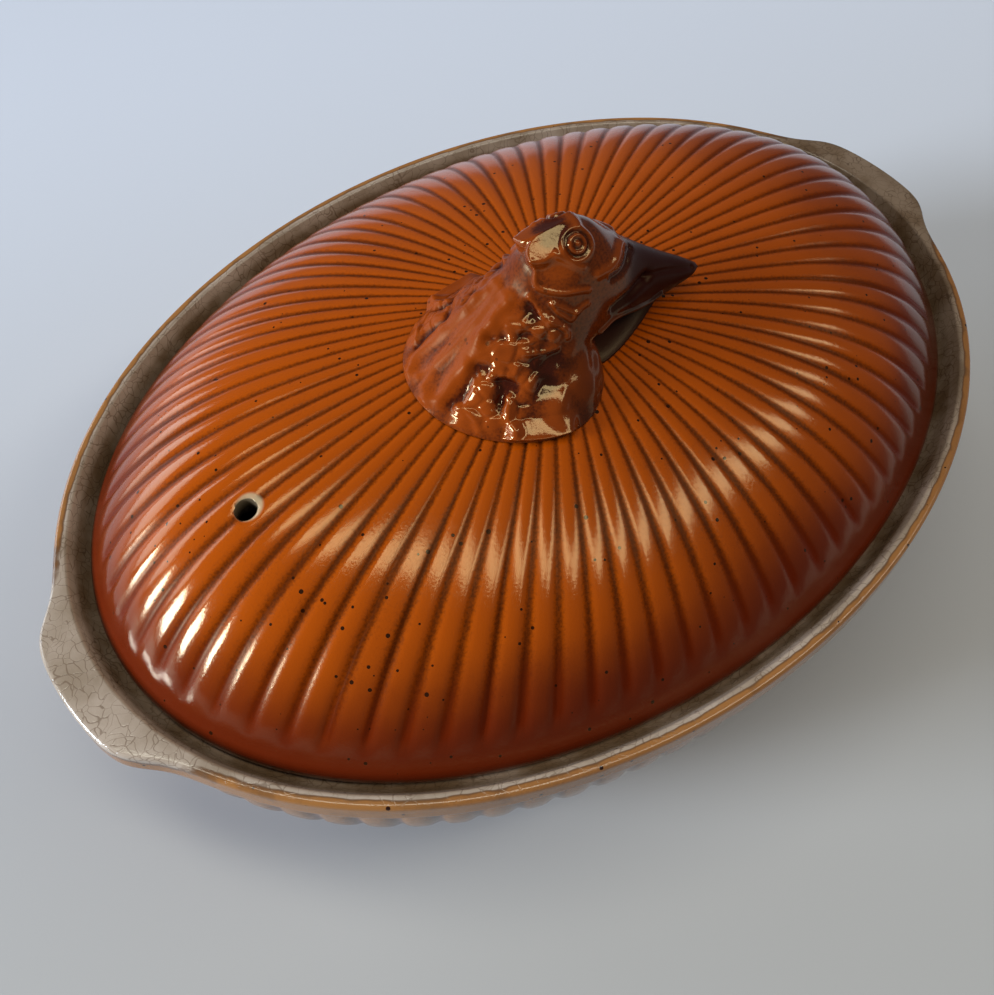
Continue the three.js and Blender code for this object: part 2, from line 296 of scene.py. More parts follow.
# %% The outside of the lid
GROOVE_DEPTH = 0.65
GROOVE_VARIATION = 0.18
FULL_SPACING = 8
REED_END = 7.2
END_ROUNDING = 1.4
BAND_SINK = 0.3
HOLE_ROUNDING = 0.45
rng = np.random.default_rng(7)
groove_depths = 1 + GROOVE_VARIATION * rng.standard_normal(REEDS)


def lid_outside(angles, levels):
    """The bare dome, sunk by the grooves, by the plain band below them and by the rounding of the
    steam hole. A groove's depth goes with the power 1.3 of the reeds' spacing where they crowd.
    Also gives how strong the reeds are and how far in from the edge each point lies."""
    over = dome_rings(angles, levels)
    square = outward(over)
    level_out = over[0] * [1, 1, 0]
    square[0] = level_out / np.linalg.norm(level_out, axis=-1, keepdims=True)
    strides = np.linalg.norm(np.diff(over, axis=0), axis=-1)
    from_edge = np.vstack([np.zeros(len(angles)), np.cumsum(strides, axis=0)])
    spacing = TURN * np.hypot(over[..., 0], over[..., 1]) / REEDS
    crowded = np.minimum(1, spacing / FULL_SPACING) ** 1.3
    end = REED_END + END_ROUNDING * np.abs(2 * reed_phase - 1) ** 3
    reeded = smooth(end - 3.0, end + 5.0, from_edge)
    band = BAND_SINK * smooth(1.0, 4.5, from_edge) * (1 - reeded)
    vent = np.hypot(over[..., 0] - VENT[0], over[..., 1] - VENT[1])
    rounding = HOLE_ROUNDING * (1 - smooth(VENT_RADIUS - 0.3, VENT_RADIUS + 0.9, vent))
    sunk = GROOVE_DEPTH * crowded * groove_depths[reed_number] * reed_groove * reeded
    sunk = sunk * smooth(VENT_RADIUS, VENT_RADIUS + 2.5, vent) + rounding
    return over - square * (sunk + band)[..., None], reeded, from_edge


reeded_rings, reeded, from_edge = lid_outside(lid_angles, lid_levels)
print("reeds end", REED_END, "mm from the edge, in rings", reeded_rings.shape)

# %% [markdown]
# ## The hollow of the lid
#
# The real lid is a shell of even thickness that rests on its edge. A Solidify modifier could
# thicken the outside, but it would copy the reeds to the inside, which is plain here. So the
# hollow is the bare dome moved in by the thickness of the wall, and a few rings round the edge
# join the two.


# %% The hollow of the lid
# inset and height of the rings round the lid's edge, from the hollow to the outside
LID_EDGE = [
    (LID_THICKNESS, DOME_BASE), (LID_THICKNESS, LID_BOTTOM + 0.9),
    (LID_THICKNESS - 0.9, LID_BOTTOM), (1.2, LID_BOTTOM),
    (0.35, LID_BOTTOM + 0.35), (0.0, LID_BOTTOM + 1.2),
]


def lid_hollow(angles):
    """The bare dome moved in by the wall's thickness, then the rings of the edge."""
    under = dome_rings(angles, np.linspace(0.12, 0.965, 18))
    under = under - outward(under[::-1])[::-1] * LID_THICKNESS
    edge = []
    for inset, height in LID_EDGE:
        reach = level_reach(angles, 1) - inset
        ring = [reach * np.cos(angles), reach * np.sin(angles), np.full(len(angles), height)]
        edge.append(np.stack(ring, axis=-1))
    return np.vstack([under, np.array(edge)])


hollow_rings = lid_hollow(lid_angles)
unseen = np.zeros(hollow_rings.shape[:2])
lid_rings = np.vstack([hollow_rings, reeded_rings])
lid_groove = np.vstack([unseen, reed_dark * reeded])
lid_inward = np.vstack([unseen, from_edge])
print("lid grid", lid_rings.shape)

# %% [markdown]
# ## The profile of the dish
#
# The real dish is one wall of clay. It could start as a cylinder whose loops are moved by hand,
# but a table of rings keeps every step in reach. The rings run from the middle underneath, round
# the foot ring, up the reeded wall, over the lip, down to the step that carries the lid and on to
# the floor inside. Each row of the table gives a ring's inset from the rim's oval, its height,
# how much of the lugs it has, how deep the reeds are there and which glaze it wears.


# %% Dish profile
WALL_REED_DEPTH = 1.0
WALL_ROWS = 48
body_top = DISH_HEIGHT - RIM_BAND
seat_z = DISH_HEIGHT - SEAT_DEPTH
seat_outer = LIP_WIDTH + SEAT_SLOPE
seat_inner = seat_outer + SEAT_WIDTH
foot_inset = BAND_OVERHANG + FOOT_DRAW


def arc(centre_inset, centre_height, radius, start, stop, count):
    """Insets and heights on part of a circle, for soft corners: the cosine of the angle taken off
    the inset, its sine added to the height. Angle 0 points out of the dish."""
    turn = np.radians(np.linspace(start, stop, count))
    return [(centre_inset - radius * math.cos(a), centre_height + radius * math.sin(a)) for a in turn]


def dish_profile():
    """Rows of inset, height, lug share, reed depth and side, where side is -1 on the bare clay
    underneath, 0 outside and 1 inside. The wall draws in with a power of the way down it."""
    rows = []

    def add(pairs, lugs=0.0, reeds=0.0, side=0.0):
        rows.extend((inset, height, lugs, reeds, side) for inset, height in pairs)

    foot_inner = foot_inset + FOOT_WIDTH
    add([(foot_inner + 34, FOOT_HEIGHT + 0.2), (foot_inner + 8, FOOT_HEIGHT)], side=-1)
    add(arc(foot_inner + 2.6, FOOT_HEIGHT - 1.0, 1.0, 90, 40, 4), side=-1)
    add(arc(foot_inner - 1, 1.0, 1.0, 215, 270, 5), side=-1)
    add(arc(foot_inset + 1.2, 1.2, 1.2, -90, 0, 6), side=-1)
    for share in np.linspace(0.0, 1.0, WALL_ROWS)[1:-1]:
        inset = BAND_OVERHANG + FOOT_DRAW * (1 - share) ** WALL_CURVE
        reeds = WALL_REED_DEPTH * smooth(0.02, 0.12, share) * (1 - smooth(0.93, 1.0, share))
        add([(inset, FOOT_HEIGHT + share * (body_top - FOOT_HEIGHT))], reeds=reeds)
    add([(BAND_OVERHANG, body_top - 0.2)])
    add(arc(0.9, body_top + 1.0, 0.9, -80, 0, 6), lugs=1.0)
    add([(0.0, body_top + share * (RIM_BAND - LIP_ROUND)) for share in (0.35, 0.6, 0.85)], lugs=1.0)
    add(arc(LIP_ROUND, DISH_HEIGHT - LIP_ROUND, LIP_ROUND, 0, 90, 8), lugs=1.0)
    flat = LIP_WIDTH - 1.0
    add([(LIP_ROUND + (flat - LIP_ROUND) * 0.3, DISH_HEIGHT)], lugs=0.6, side=0.1)
    add([(LIP_ROUND + (flat - LIP_ROUND) * 0.6, DISH_HEIGHT)], lugs=0.6, side=0.35)
    add([(flat, DISH_HEIGHT)], side=1)
    add(arc(flat, DISH_HEIGHT - 1.0, 1.0, 100, 155, 6), side=1)
    slope_width, slope_depth = SEAT_SLOPE - 0.9, SEAT_DEPTH - 2.0
    add([(LIP_WIDTH + 0.25 + slope_width * share, DISH_HEIGHT - 1.0 - slope_depth * share)
         for share in (0.15, 0.4, 0.65, 0.9)], side=1)
    add([(seat_outer + 0.1, seat_z + 0.3), (seat_outer + 0.8, seat_z), (seat_inner - 1.0, seat_z)], side=1)
    add(arc(seat_inner - 0.2, seat_z - 1.0, 1.0, 90, 170, 5), side=1)
    for share in np.linspace(0.95, 0.0, 22):
        inset = seat_inner + (foot_inset + WALL - seat_inner) * (1 - share) ** WALL_CURVE
        add([(inset, FLOOR + share * (seat_z - 1.0 - FLOOR))], side=1)
    add([(foot_inset + WALL + 6, FLOOR - 0.2), (foot_inset + WALL + 30, FLOOR - 0.3)], side=1)
    return np.array(rows)


dish_rows = dish_profile()
print("dish profile with", len(dish_rows), "rings")

# %% [markdown]
# ## The dish with its lugs and reeds
#
# The lugs could be pieces of their own, stuck on the rim. On the real dish they are one with it,
# a swelling of the rim itself, so the same rings are pushed out at the two ends of the oval. The
# wall's reeds draw each ring in a little more wherever a groove runs.


# %% Dish surface
LUG_PUSH = 6.9
LUG_HALF_WIDTH = 22.5
GLAZED_HALF_WIDTH = 24


def rim_curve(angles, inset, lugs):
    """The rim's oval drawn in by the inset, with each lug a flat-topped swell: its push falls
    with the seventh power of the distance from the long axis."""
    semi = RIM[:, None] - np.broadcast_to(inset, angles.shape)
    reach = 1 / np.hypot(np.cos(angles) / semi[0], np.sin(angles) / semi[1])
    x, y = reach * np.cos(angles), reach * np.sin(angles)
    outwards = np.stack([x / semi[0] ** 2, y / semi[1] ** 2], axis=-1)
    outwards /= np.linalg.norm(outwards, axis=-1, keepdims=True)
    push = LUG_PUSH / (1 + np.abs(y / LUG_HALF_WIDTH) ** 7)
    return np.stack([x, y], axis=-1) + outwards * (lugs * push)[:, None]


def dish_surface(angles, rows):
    """The ring of each row, and three values of each point for the glazes: how deep in a groove
    it lies, which side it is on, where the lugs count as inside, and how brown the slope under
    the lid is, partly stain and partly painted shade."""
    rings = []
    for inset, height, lugs, reeds, _ in rows:
        plan = rim_curve(angles, inset + reeds * reed_groove, lugs)
        rings.append(np.column_stack([plan, np.full(len(angles), height)]))
    inset, height, reeds, side = rows[:, 0:1], rows[:, 1:2], rows[:, 3:4], rows[:, 4:5]
    grooves = np.repeat(reeds, len(angles), axis=1) * reed_dark
    on_lug = 1 / (1 + np.abs(RIM[1] * np.sin(angles) / GLAZED_HALF_WIDTH) ** 7)
    sides = side + (side >= 0) * smooth(body_top + 3.5, DISH_HEIGHT - 0.5, height) * on_lug
    # Brown on the slope under the lid's edge: partly the glaze's own tone, partly painted shade
    inner = smooth(DISH_HEIGHT - 1.2, DISH_HEIGHT - 4.0, height) * (side > 0.9)
    stain = inner * (1 - smooth(seat_outer, seat_inner + 4, inset)) * np.ones(len(angles))
    return np.array(rings), grooves, np.minimum(sides, 1), stain


dish_rings, dish_groove, dish_side, dish_stain = dish_surface(polar_angles(RIM, reed_share), dish_rows)
print("dish grid", dish_rings.shape)

# %% [markdown]
# ## The bird's head
#
# The real head was modelled by hand and pressed in a mould. Sculpting could copy it, but a loft
# is exact and easy to change: fifteen sections from the foot of the neck to the tip of the beak,
# each given by a point of the back outline, a point of the front outline, a half width and a
# shift to the side. A smooth curve runs through the rows of that table.

# %% Table of the head
NECK_FOOT = np.array([-20.0, -4.5])
HEAD_TURN = math.radians(-14)
SEAT_OF_HEAD = float(dome_above(*NECK_FOOT)) + REST_GAP
FRONT_FULLNESS = 0.35
HEAD_TOP = 137.3
SOFT_TOP = 0.5
HEAD_RINGS = 361
HEAD_COLUMNS = 256
# back along, back up, front along, front up, half width, aside
HEAD_ROWS = np.array([
    [-25.0, 0.0, 21.8, 0.0, 23.6, -2.0],
    [-20.8, 2.4, 21.6, 1.6, 21.2, -1.6],
    [-16.6, 5.8, 21.4, 3.2, 18.2, -1.1],
    [-10.0, 11.8, 21.3, 4.6, 15.4, -0.6],
    [-4.0, 17.2, 22.0, 5.4, 13.4, -0.2],
    [1.1, 22.3, 24.2, 4.8, 12.2, 0.0],
    [4.4, 28.0, 26.6, 3.8, 11.2, 0.0],
    [8.3, 33.4, 29.2, 2.8, 10.2, 0.0],
    [14.4, 35.2, 31.8, 2.1, 9.6, 0.0],
    [21.1, 32.6, 34.7, 1.6, 8.7, 0.0],
    [27.2, 27.2, 37.9, 1.5, 7.2, 0.0],
    [33.9, 21.2, 41.6, 1.8, 5.6, 0.0],
    [43.0, 14.2, 46.6, 2.6, 4.0, 0.0],
    [50.8, 8.8, 52.2, 3.9, 2.4, 0.0],
    [54.4, 6.0, 54.6, 5.2, 0.8, 0.0],
])


def through(rows, share):
    """A smooth curve through the rows of a table, which stand at even shares from 0 to 1. Each
    stretch is the cubic whose slope at a row is half the step between that row's neighbours."""
    last = len(rows) - 1
    place = np.clip(share, 0, 1) * last
    start = np.minimum(place.astype(int), last - 1)
    t = (place - start)[..., None]
    a, b, c, d = (rows[np.clip(start + k, 0, last)] for k in (-1, 0, 1, 2))
    return 0.5 * (2 * b + (c - a) * t + (2 * a - 5 * b + 4 * c - d) * t**2
                  + (3 * b - a - 3 * c + d) * t**3)


print("head table", HEAD_ROWS.shape)

# %% [markdown]
# ## Sections in slanting planes
#
# Level slices would do for the neck, but they can't follow a beak that hangs forwards. So the
# sections are ovals in planes that slant from the back outline to the front one, and are fuller
# towards the front, which leaves the jaw broad. The bird leans until its beak nearly touches the
# lid, and its whole head is turned a little to one side.


# %% Head loft
def head_points(share, turn):
    """Points of the bare head, as along, aside and up in the bird's own frame, before the shift
    to the side: the middle of the section plus the cosine of the turn towards the front and its
    sine to the side, times one plus the fullness by the fourth power of the half turn's cosine."""
    row = through(HEAD_ROWS, share)
    towards = np.cos(turn)
    along = (row[..., 2] + row[..., 0]) / 2 + (row[..., 2] - row[..., 0]) / 2 * towards
    up = (row[..., 3] + row[..., 1]) / 2 + (row[..., 3] - row[..., 1]) / 2 * towards
    full = 1 + FRONT_FULLNESS * np.cos(turn / 2) ** 4
    return np.stack([along, row[..., 4] * full * np.sin(turn), up], axis=-1)


def onto_lid(own, share):
    """From the bird's frame to the lid: shifted aside, turned, moved to the neck's foot, and
    bent to the dome near the foot."""
    cos, sin = math.cos(HEAD_TURN), math.sin(HEAD_TURN)
    aside = own[..., 1] + through(HEAD_ROWS, share)[..., 5]
    x = NECK_FOOT[0] + own[..., 0] * cos - aside * sin
    y = NECK_FOOT[1] + own[..., 0] * sin + aside * cos
    settle = 1 - smooth(0, 0.15, share)
    z = SEAT_OF_HEAD + own[..., 2] + settle * (dome_above(x, y) + REST_GAP - SEAT_OF_HEAD)
    return np.stack([x, y, z], axis=-1)


head_share, head_turn = np.meshgrid(
    np.linspace(0, 1, HEAD_RINGS), np.linspace(0, TURN, HEAD_COLUMNS + 1)[:-1], indexing="ij")
head_own = head_points(head_share, head_turn)
print("head grid", head_own.shape)

# %% [markdown]
# ## Carving the head
#
# The mould maker carved the eye, the ear, the edge of the cheek and the feathers into the form.
# Sculpting brushes would do the same here, but their strokes can't be read or changed later. So
# each mark is a small hill or hollow whose height depends only on the distance from a spot or
# from a line drawn on the bare head. Spots and lines are given by the share of the way along the
# loft and the turn round it in degrees, and are mirrored, because both sides are alike.


# %% Carving tools
def on_head(share, degrees):
    """Points of the bare head at a share of the way along it and a turn in degrees."""
    return head_points(np.asarray(share, float), np.radians(np.asarray(degrees, float)))


def near_side(points):
    """Points in the bird's frame, with those of the far side folded onto the near side."""
    return points * [1, 0, 1] - np.abs(points) * [0, 1, 0]


# The distances are taken to the folded head, so that every mark shows on both sides
folded = near_side(head_own)


def away_from(share, degrees):
    """Distance of each point of the head from a spot on its near side."""
    return np.linalg.norm(folded - near_side(on_head(share, degrees)), axis=-1)


def away_from_line(marks):
    """Distance from a smooth line through marks of (share, degrees), drawn with short steps."""
    marks = np.array(marks, float)
    fine = through(marks, np.linspace(0, 1, 12 * len(marks)))
    nearest = np.full(folded.shape[:2], 1e9)
    for spot in near_side(on_head(fine[:, 0], fine[:, 1])):
        nearest = np.minimum(nearest, np.linalg.norm(folded - spot, axis=-1))
    return nearest


def hill(distance, reach):
    """A bell: e to the power of minus the square of the distance over the reach."""
    return np.exp(-((distance / reach) ** 2))


print("a mark's height at its reach is", round(float(hill(1.0, 1.0)), 2), "of that in its middle")

# %% [markdown]
# ## The face
#
# A bump in the glaze would look right from the front alone, so the face is cut into the form. The
# eye is a set of rings round a small round pupil. The skin round the ear lies lower and is fenced
# by a thin ridge, and a fold of skin parts the face from the beak. The line of the gape is cut
# in, and the lower jaw has a thin raised rim. Last, the brow and the breast are pared flat with a
# knife's slanting strokes: near each spot of the last table the surface is cut down or filled
# up to a plane, fully at the spot and less and less around it.

# %% Carve the face
# height, distance from the middle of the eye and reach of each ring
EYE_RINGS = [
    (0.35, 3.7, 0.6), (-0.45, 2.8, 0.45), (0.35, 1.9, 0.45), (-0.3, 1.1, 0.35), (0.4, 0.0, 0.7),
]
eye = away_from(0.568, 213)
carving = np.zeros(eye.shape)
for height, away, reach in EYE_RINGS:
    carving += height * hill(eye - away, reach)

# height, reach and marks of each ridge; a height below 0 cuts a groove
FACE_LINES = [
    (0.45, 0.8, [(0.505, 210), (0.513, 220), (0.525, 229), (0.54, 235)]),
    (0.6, 0.65, [(0.453, 197), (0.438, 203), (0.41, 212), (0.425, 227), (0.458, 242), (0.508, 254)]),
    (0.75, 1.2, [(0.728, 202), (0.677, 228), (0.62, 243), (0.568, 247)]),
    (-0.6, 1.0, [(0.76, 203), (0.71, 232), (0.655, 248), (0.6, 255)]),
    (-1.5, 1.6, [(0.54, 289), (0.618, 282), (0.69, 272), (0.77, 256)]),
    (-0.5, 0.8, [(0.77, 256), (0.86, 240), (0.94, 232)]),
    (0.8, 0.6, [(0.38, 302), (0.535, 303), (0.662, 303), (0.74, 304), (0.80, 298)]),
]
for height, reach, marks in FACE_LINES:
    carving += height * hill(away_from_line(marks), reach)
jaw_rim = hill(away_from_line(FACE_LINES[-1][2]), 0.9)
ear = hill(away_from(0.485, 224), 3.6)
carving -= 0.4 * ear

# share, degrees, depth of the slice, its direction in the bird's frame and its reach
SLICES = [
    (0.52, 194, 0.6, (-0.22, -0.348, 0.911), 4.2),
    (0.475, 196, -0.8, (-0.22, -0.348, 0.911), 2.8),
    (0.575, 187, 0.25, (-0.22, -0.348, 0.911), 3.0),
    (0.138, 270, -0.2, (-0.205, -0.305, 0.93), 3.8),
]
folded_square = outward(head_own)
folded_square[..., 1] *= -np.sign(head_own[..., 1])
sliced, weights = 0, 0
for share, degrees, deep, direction, reach in SLICES:
    above = (folded - on_head(share, degrees)) @ np.array(direction)
    above /= np.clip(folded_square @ np.array(direction), 0.5, 1)
    weight = hill(away_from(share, degrees) ** 2, reach**2)
    sliced, weights = sliced + (above + deep) * weight, weights + weight
carving -= sliced / np.maximum(weights, 1)
print("face carved, from", carving.min().round(2), "to", carving.max().round(2), "mm")

# %% [markdown]
# ## The plumage
#
# Long soft feathers run down the nape. The side of the neck is covered with short feathers, with
# pits between them, and the breast ends in rounder lobes over a sloping ledge at the foot. A
# regular pattern would be less work, but the real feathers were set one by one and unevenly, so
# each row of the tables below is one line, one feather or one pit. The ledge stands out most at
# its lower edge.

# %% Carve the plumage
# height, reach and marks of each line, as on the face
PLUMAGE_LINES = [
    (0.55, 0.6, [(0.40, 233), (0.408, 243), (0.42, 256), (0.445, 259), (0.473, 262)]),
    (0.5, 0.55, [(0.40, 234), (0.39, 240), (0.388, 249), (0.388, 257), (0.42, 258)]),
    (0.75, 0.75, [(0.372, 211), (0.365, 220), (0.352, 232), (0.352, 244), (0.348, 258), (0.325, 264)]),
    (0.6, 0.8, [(0.242, 238), (0.258, 253), (0.28, 261)]),
    (0.65, 0.8, [(0.173, 224), (0.185, 231), (0.188, 238), (0.21, 238)]),
    (1.1, 1.2, [(0.13, 242), (0.09, 243), (0.06, 246), (0.045, 250)]),
    (0.7, 1.0, [(0.065, 211), (0.072, 218), (0.055, 225), (0.03, 230)]),
    (0.5, 1.5, [(0.328, 182), (0.24, 178), (0.158, 178), (0.05, 184)]),
    (0.5, 1.5, [(0.30, 168), (0.18, 158), (0.08, 160), (0.03, 168)]),
    (0.6, 1.6, [(0.323, 197), (0.24, 194), (0.16, 196), (0.052, 200)]),
    (-0.7, 1.1, [(0.18, 209), (0.12, 212), (0.065, 208)]),
    (-0.8, 1.1, [(0.177, 228), (0.143, 236), (0.103, 237)]),
]
for height, reach, marks in PLUMAGE_LINES:
    carving += height * hill(away_from_line(marks), reach)

# share along the loft, degrees round it, reach and height
FEATHERS = [
    (0.235, 195, 2.2, 0.6), (0.270, 200, 1.9, 0.8), (0.288, 211, 1.8, 0.8), (0.302, 222, 1.8, 0.8),
    (0.307, 240, 2.3, 0.7), (0.305, 254, 1.9, 0.6), (0.205, 207, 2.3, 0.8), (0.230, 215, 2.0, 0.7),
    (0.255, 222, 1.8, 0.8), (0.260, 233, 2.0, 0.7), (0.170, 204, 2.0, 0.7), (0.135, 222, 3.4, 1.1),
    (0.203, 223, 2.0, 0.7), (0.217, 231, 1.9, 0.7), (0.050, 218, 2.6, 0.9), (0.068, 234, 2.8, 0.8),
    (0.173, 251, 2.3, 0.8), (0.068, 249, 2.0, 0.6), (0.050, 280, 2.6, 0.8), (0.330, 196, 2.0, 0.5),
    (0.345, 240, 1.8, 0.5), (0.215, 270, 2.4, 0.7), (0.150, 290, 2.6, 0.7), (0.270, 275, 2.2, 0.6),
    (0.100, 305, 3.0, 0.7), (0.200, 300, 2.4, 0.6), (0.060, 325, 3.0, 0.6), (0.160, 325, 2.6, 0.6),
    (0.100, 350, 3.0, 0.5), (0.020, 192, 2.6, 0.5),
    (0.355, 218, 1.5, -0.8), (0.335, 226, 1.4, -0.9), (0.165, 238, 2.0, -0.9), (0.275, 226, 1.2, -0.7),
    (0.258, 215, 1.1, -0.6), (0.223, 258, 3.0, -0.7), (0.238, 269, 3.0, -0.8), (0.128, 236, 1.6, -0.8),
    (0.285, 231, 1.2, -0.7), (0.240, 205, 1.2, -0.6), (0.300, 247, 1.1, -0.6), (0.185, 215, 1.4, -0.7),
]
for share, degrees, reach, height in FEATHERS:
    carving += height * hill(away_from(share, degrees), reach)

LEDGE_HEIGHT = 2.1
around = np.degrees(np.where(head_turn < math.pi, TURN - head_turn, head_turn))
ledge = smooth(243, 250, around) * (1 - smooth(281, 292, around))
ledge *= smooth(0.0, 0.018, head_share) * np.clip(1 - (head_share - 0.018) / 0.062, 0, 1)
carving += LEDGE_HEIGHT * ledge
print(len(FEATHERS), "feathers and pits, carved from", carving.min().round(2), "to", carving.max().round(2))

# %% [markdown]
# ## The fine plumage
#
# Small lumps cover the sides of the neck. Drawn one by one they would fill a long table, so they
# come from a rule: each lump is the area that is nearer to its own middle than to any other, and
# its edge is where the distances to the nearest middle and to the second nearest are equal. The
# middles are those of an even net, shifted at random with a fixed seed, and looking only at the
# nine nearest keeps the work small. The nape has low ripples instead, where two waves cross.

# %% Carve the fine plumage
LUMP_ROWS = 10
LUMPS_ROUND = 26
LUMP_LENGTH = 3.6
LUMP_HEIGHT = 0.34
RIPPLE_HEIGHT = 0.16
NECK_SHARE = 0.42
shift = np.random.default_rng(11).uniform(-0.4, 0.4, (LUMP_ROWS + 3, LUMPS_ROUND, 2))


def inside_lump(share, turn):
    """How far inside its lump each point lies: the distance to the second nearest middle less
    that to the nearest, in millimetres."""
    row = share / NECK_SHARE * LUMP_ROWS
    column = turn / TURN * LUMPS_ROUND
    girth = np.linalg.norm(head_own - np.roll(head_own, 1, axis=1), axis=-1).sum(axis=1)
    wide = (girth / LUMPS_ROUND)[:, None]
    nearest, second = np.full(row.shape, 1e9), np.full(row.shape, 1e9)
    for i in (-1, 0, 1):
        cell_row = np.clip(np.floor(row).astype(int) + i, 0, LUMP_ROWS + 2)
        offset = 0.5 * (cell_row % 2)
        start = np.floor(column - offset).astype(int)
        for j in (-1, 0, 1):
            move = shift[cell_row, (start + j) % LUMPS_ROUND]
            dx = (column - (start + j + 0.5 + offset + move[..., 0])) * wide
            dy = (row - (cell_row + 0.5 + move[..., 1])) * LUMP_LENGTH
            away = np.hypot(dx, dy)
            second = np.where(away < nearest, nearest, np.minimum(second, away))
            nearest = np.minimum(nearest, away)
    return second - nearest


neck = smooth(0.02, 0.06, head_share) * (1 - smooth(0.33, 0.40, head_share))
nape = smooth(0.75, 0.95, -np.cos(head_turn))
side_only = smooth(0.1, 0.35, -np.cos(head_turn))
lumps = smooth(0, 1.4, inside_lump(head_share, head_turn)) - 0.6
carving += LUMP_HEIGHT * lumps * neck * (1 - nape) * side_only
ripples = np.sin(head_turn * 17 + 2.5 * np.sin(head_share * 17)) * np.sin(head_share * 31)
above_foot, below_crown = smooth(0.03, 0.1, head_share), 1 - smooth(0.3, 0.42, head_share)
carving += RIPPLE_HEIGHT * ripples * nape * above_foot * below_crown
print("fine plumage carved, from", carving.min().round(2), "to", carving.max().round(2), "mm")

# %% [markdown]
# ## From the marks to the finished head
#
# A Displace modifier could lift the marks off the bare head, once they were stored as weights.
# It is more direct to move each point along its outward direction by the sum of all the marks,
# which fades out where the neck meets the lid and at the tip of the beak. The foot is closed by
# rings that follow the dome below it.

# %% Lift the carving off the bare head
head_bare = onto_lid(head_own, head_share)
fade = smooth(0, 0.02, head_share) * (1 - smooth(0.96, 1.0, head_share))
head_lifted = head_bare + outward(head_bare) * (carving * fade)[..., None]
# What stands above the measured height is pressed down softly, within the last half millimetre
above = np.maximum(head_lifted[..., 2] - (HEAD_TOP - SOFT_TOP), 0)
head_lifted[..., 2] += SOFT_TOP * np.tanh(above / SOFT_TOP) - above


def under_piece(outline, middle, shares):
    """Rings that follow the dome under a piece, from near its middle out to its outline."""
    rings = []
    for share in shares:
        plan = middle + (outline[:, :2] - middle) * share
        rings.append(np.column_stack([plan, dome_above(plan[:, 0], plan[:, 1]) + REST_GAP]))
    return np.array(rings)


UNDER_SHARES = (0.25, 0.5, 0.75, 0.96)
head_rings = np.vstack([under_piece(head_bare[0], NECK_FOOT, UNDER_SHARES), head_lifted])
print("head", head_rings.reshape(-1, 3).min(0).round(1), head_rings.reshape(-1, 3).max(0).round(1))

# %% [markdown]
# ## What the kiln did to the head, and painted shade
#
# On the real head the glaze has run off the ridges and gathered in the hollows, the beak has
# burnt dark, and the nape and the far side are duller than the breast. The beak is darkened
# further to almost black, and the front of the neck and the breast are darkened too, which is
# painted shade. That could be painted by hand. It is worked out from the carving and from the
# place on the head instead, as three values of each point that the glaze reads later: gathered,
# fired with the painted shade, and dull.

# %% Where the head is dark and dull
under_head = np.zeros((len(UNDER_SHARES), HEAD_COLUMNS))
gathered = 1 - smooth(-0.6, 0.8, carving) - 0.9 * ear
beak = smooth(0.59, 0.70, head_share + 0.12 * np.cos(head_turn))
# 1 on the front of the neck and the breast, which are darkened below as painted shade
front_shade = smooth(-0.5, 0.7, np.cos(head_turn))
neck_foot = 1 - smooth(0.12, 0.26, head_share)
# Burnt glaze, plus painted shade on the front and most of the beak's darkness
fired = (0.33 - 0.23 * neck_foot * (1 - front_shade) + 0.3 * front_shade) * (1 - ear) + 0.8 * beak
dull = np.maximum(smooth(0.78, 0.96, -np.cos(head_turn)), smooth(-0.1, 0.4, np.sin(head_turn)))
dull = np.maximum(dull * (1 - smooth(0.40, 0.46, head_share)), beak) * (1 - jaw_rim)
head_gathered = np.vstack([under_head, np.clip(gathered, 0, 1)])
head_fired = np.vstack([under_head, fired])
head_dull = np.vstack([under_head, dull])
print("burnt share of the head", float((fired > 0.8).mean()))

# %% [markdown]
# ## The clay under the beak
#
# A press mould can't make a free-hanging beak, so the corner between the breast, the beak and
# the lid is filled with clay. A flattened ball would do, but it would bulge past the beak. So it
# is a low mound on the dome, whose outline narrows in a curve from the breast to a point, and it
# rises towards its middle under the bird's throat.


# %% Beak fillet
FILLET_MIDDLE = 21.0
FILLET_FRONT = 23.5
FILLET_BACK = 13.5
FILLET_HALF_WIDTH = 13.5
FILLET_HEIGHT = 12


def fillet_surface():
    """The outline lies at the powers 1.5 and 2 of the cosine and sine of a turn, and the height
    is the power 1.4 of the share of the way in from the outline."""
    turn = np.linspace(0, TURN, 121)[:-1]
    cos, sin = np.cos(turn), np.sin(turn)
    length = np.where(cos > 0, FILLET_FRONT, FILLET_BACK)
    along = FILLET_MIDDLE + length * np.sign(cos) * np.abs(cos) ** 1.5
    own = np.stack([along, FILLET_HALF_WIDTH * np.sign(sin) * sin**2, 0 * turn], axis=-1)
    outline = onto_lid(own - [0, through(HEAD_ROWS, np.zeros(1))[0, 5], 0], np.zeros(len(turn)))
    middle = onto_lid(np.array([[FILLET_MIDDLE, 2.0, 0.0]]), np.zeros(1))[0, :2]
    below = under_piece(outline, middle, (0.3, 0.6, 1.0))
    shares = np.linspace(0.97, 0.1, 16)
    above = under_piece(outline, middle, shares)
    above[..., 2] += FILLET_HEIGHT * (1 - shares[:, None]) ** 1.4
    return np.vstack([below, above])


fillet_rings = fillet_surface()
print("fillet", fillet_rings.reshape(-1, 3).min(0).round(1), fillet_rings.reshape(-1, 3).max(0).round(1))

# %% [markdown]
# ## Tools for glazes
#
# A glaze could be a photograph wrapped round the dish. Shader nodes need no picture, stay sharp
# from close up, and can follow the shape, so each glaze here is a small tree of nodes. Writing
# such a tree out in code is wordy, and these helpers keep it short: most of them add one node and
# give back the socket that carries its result.


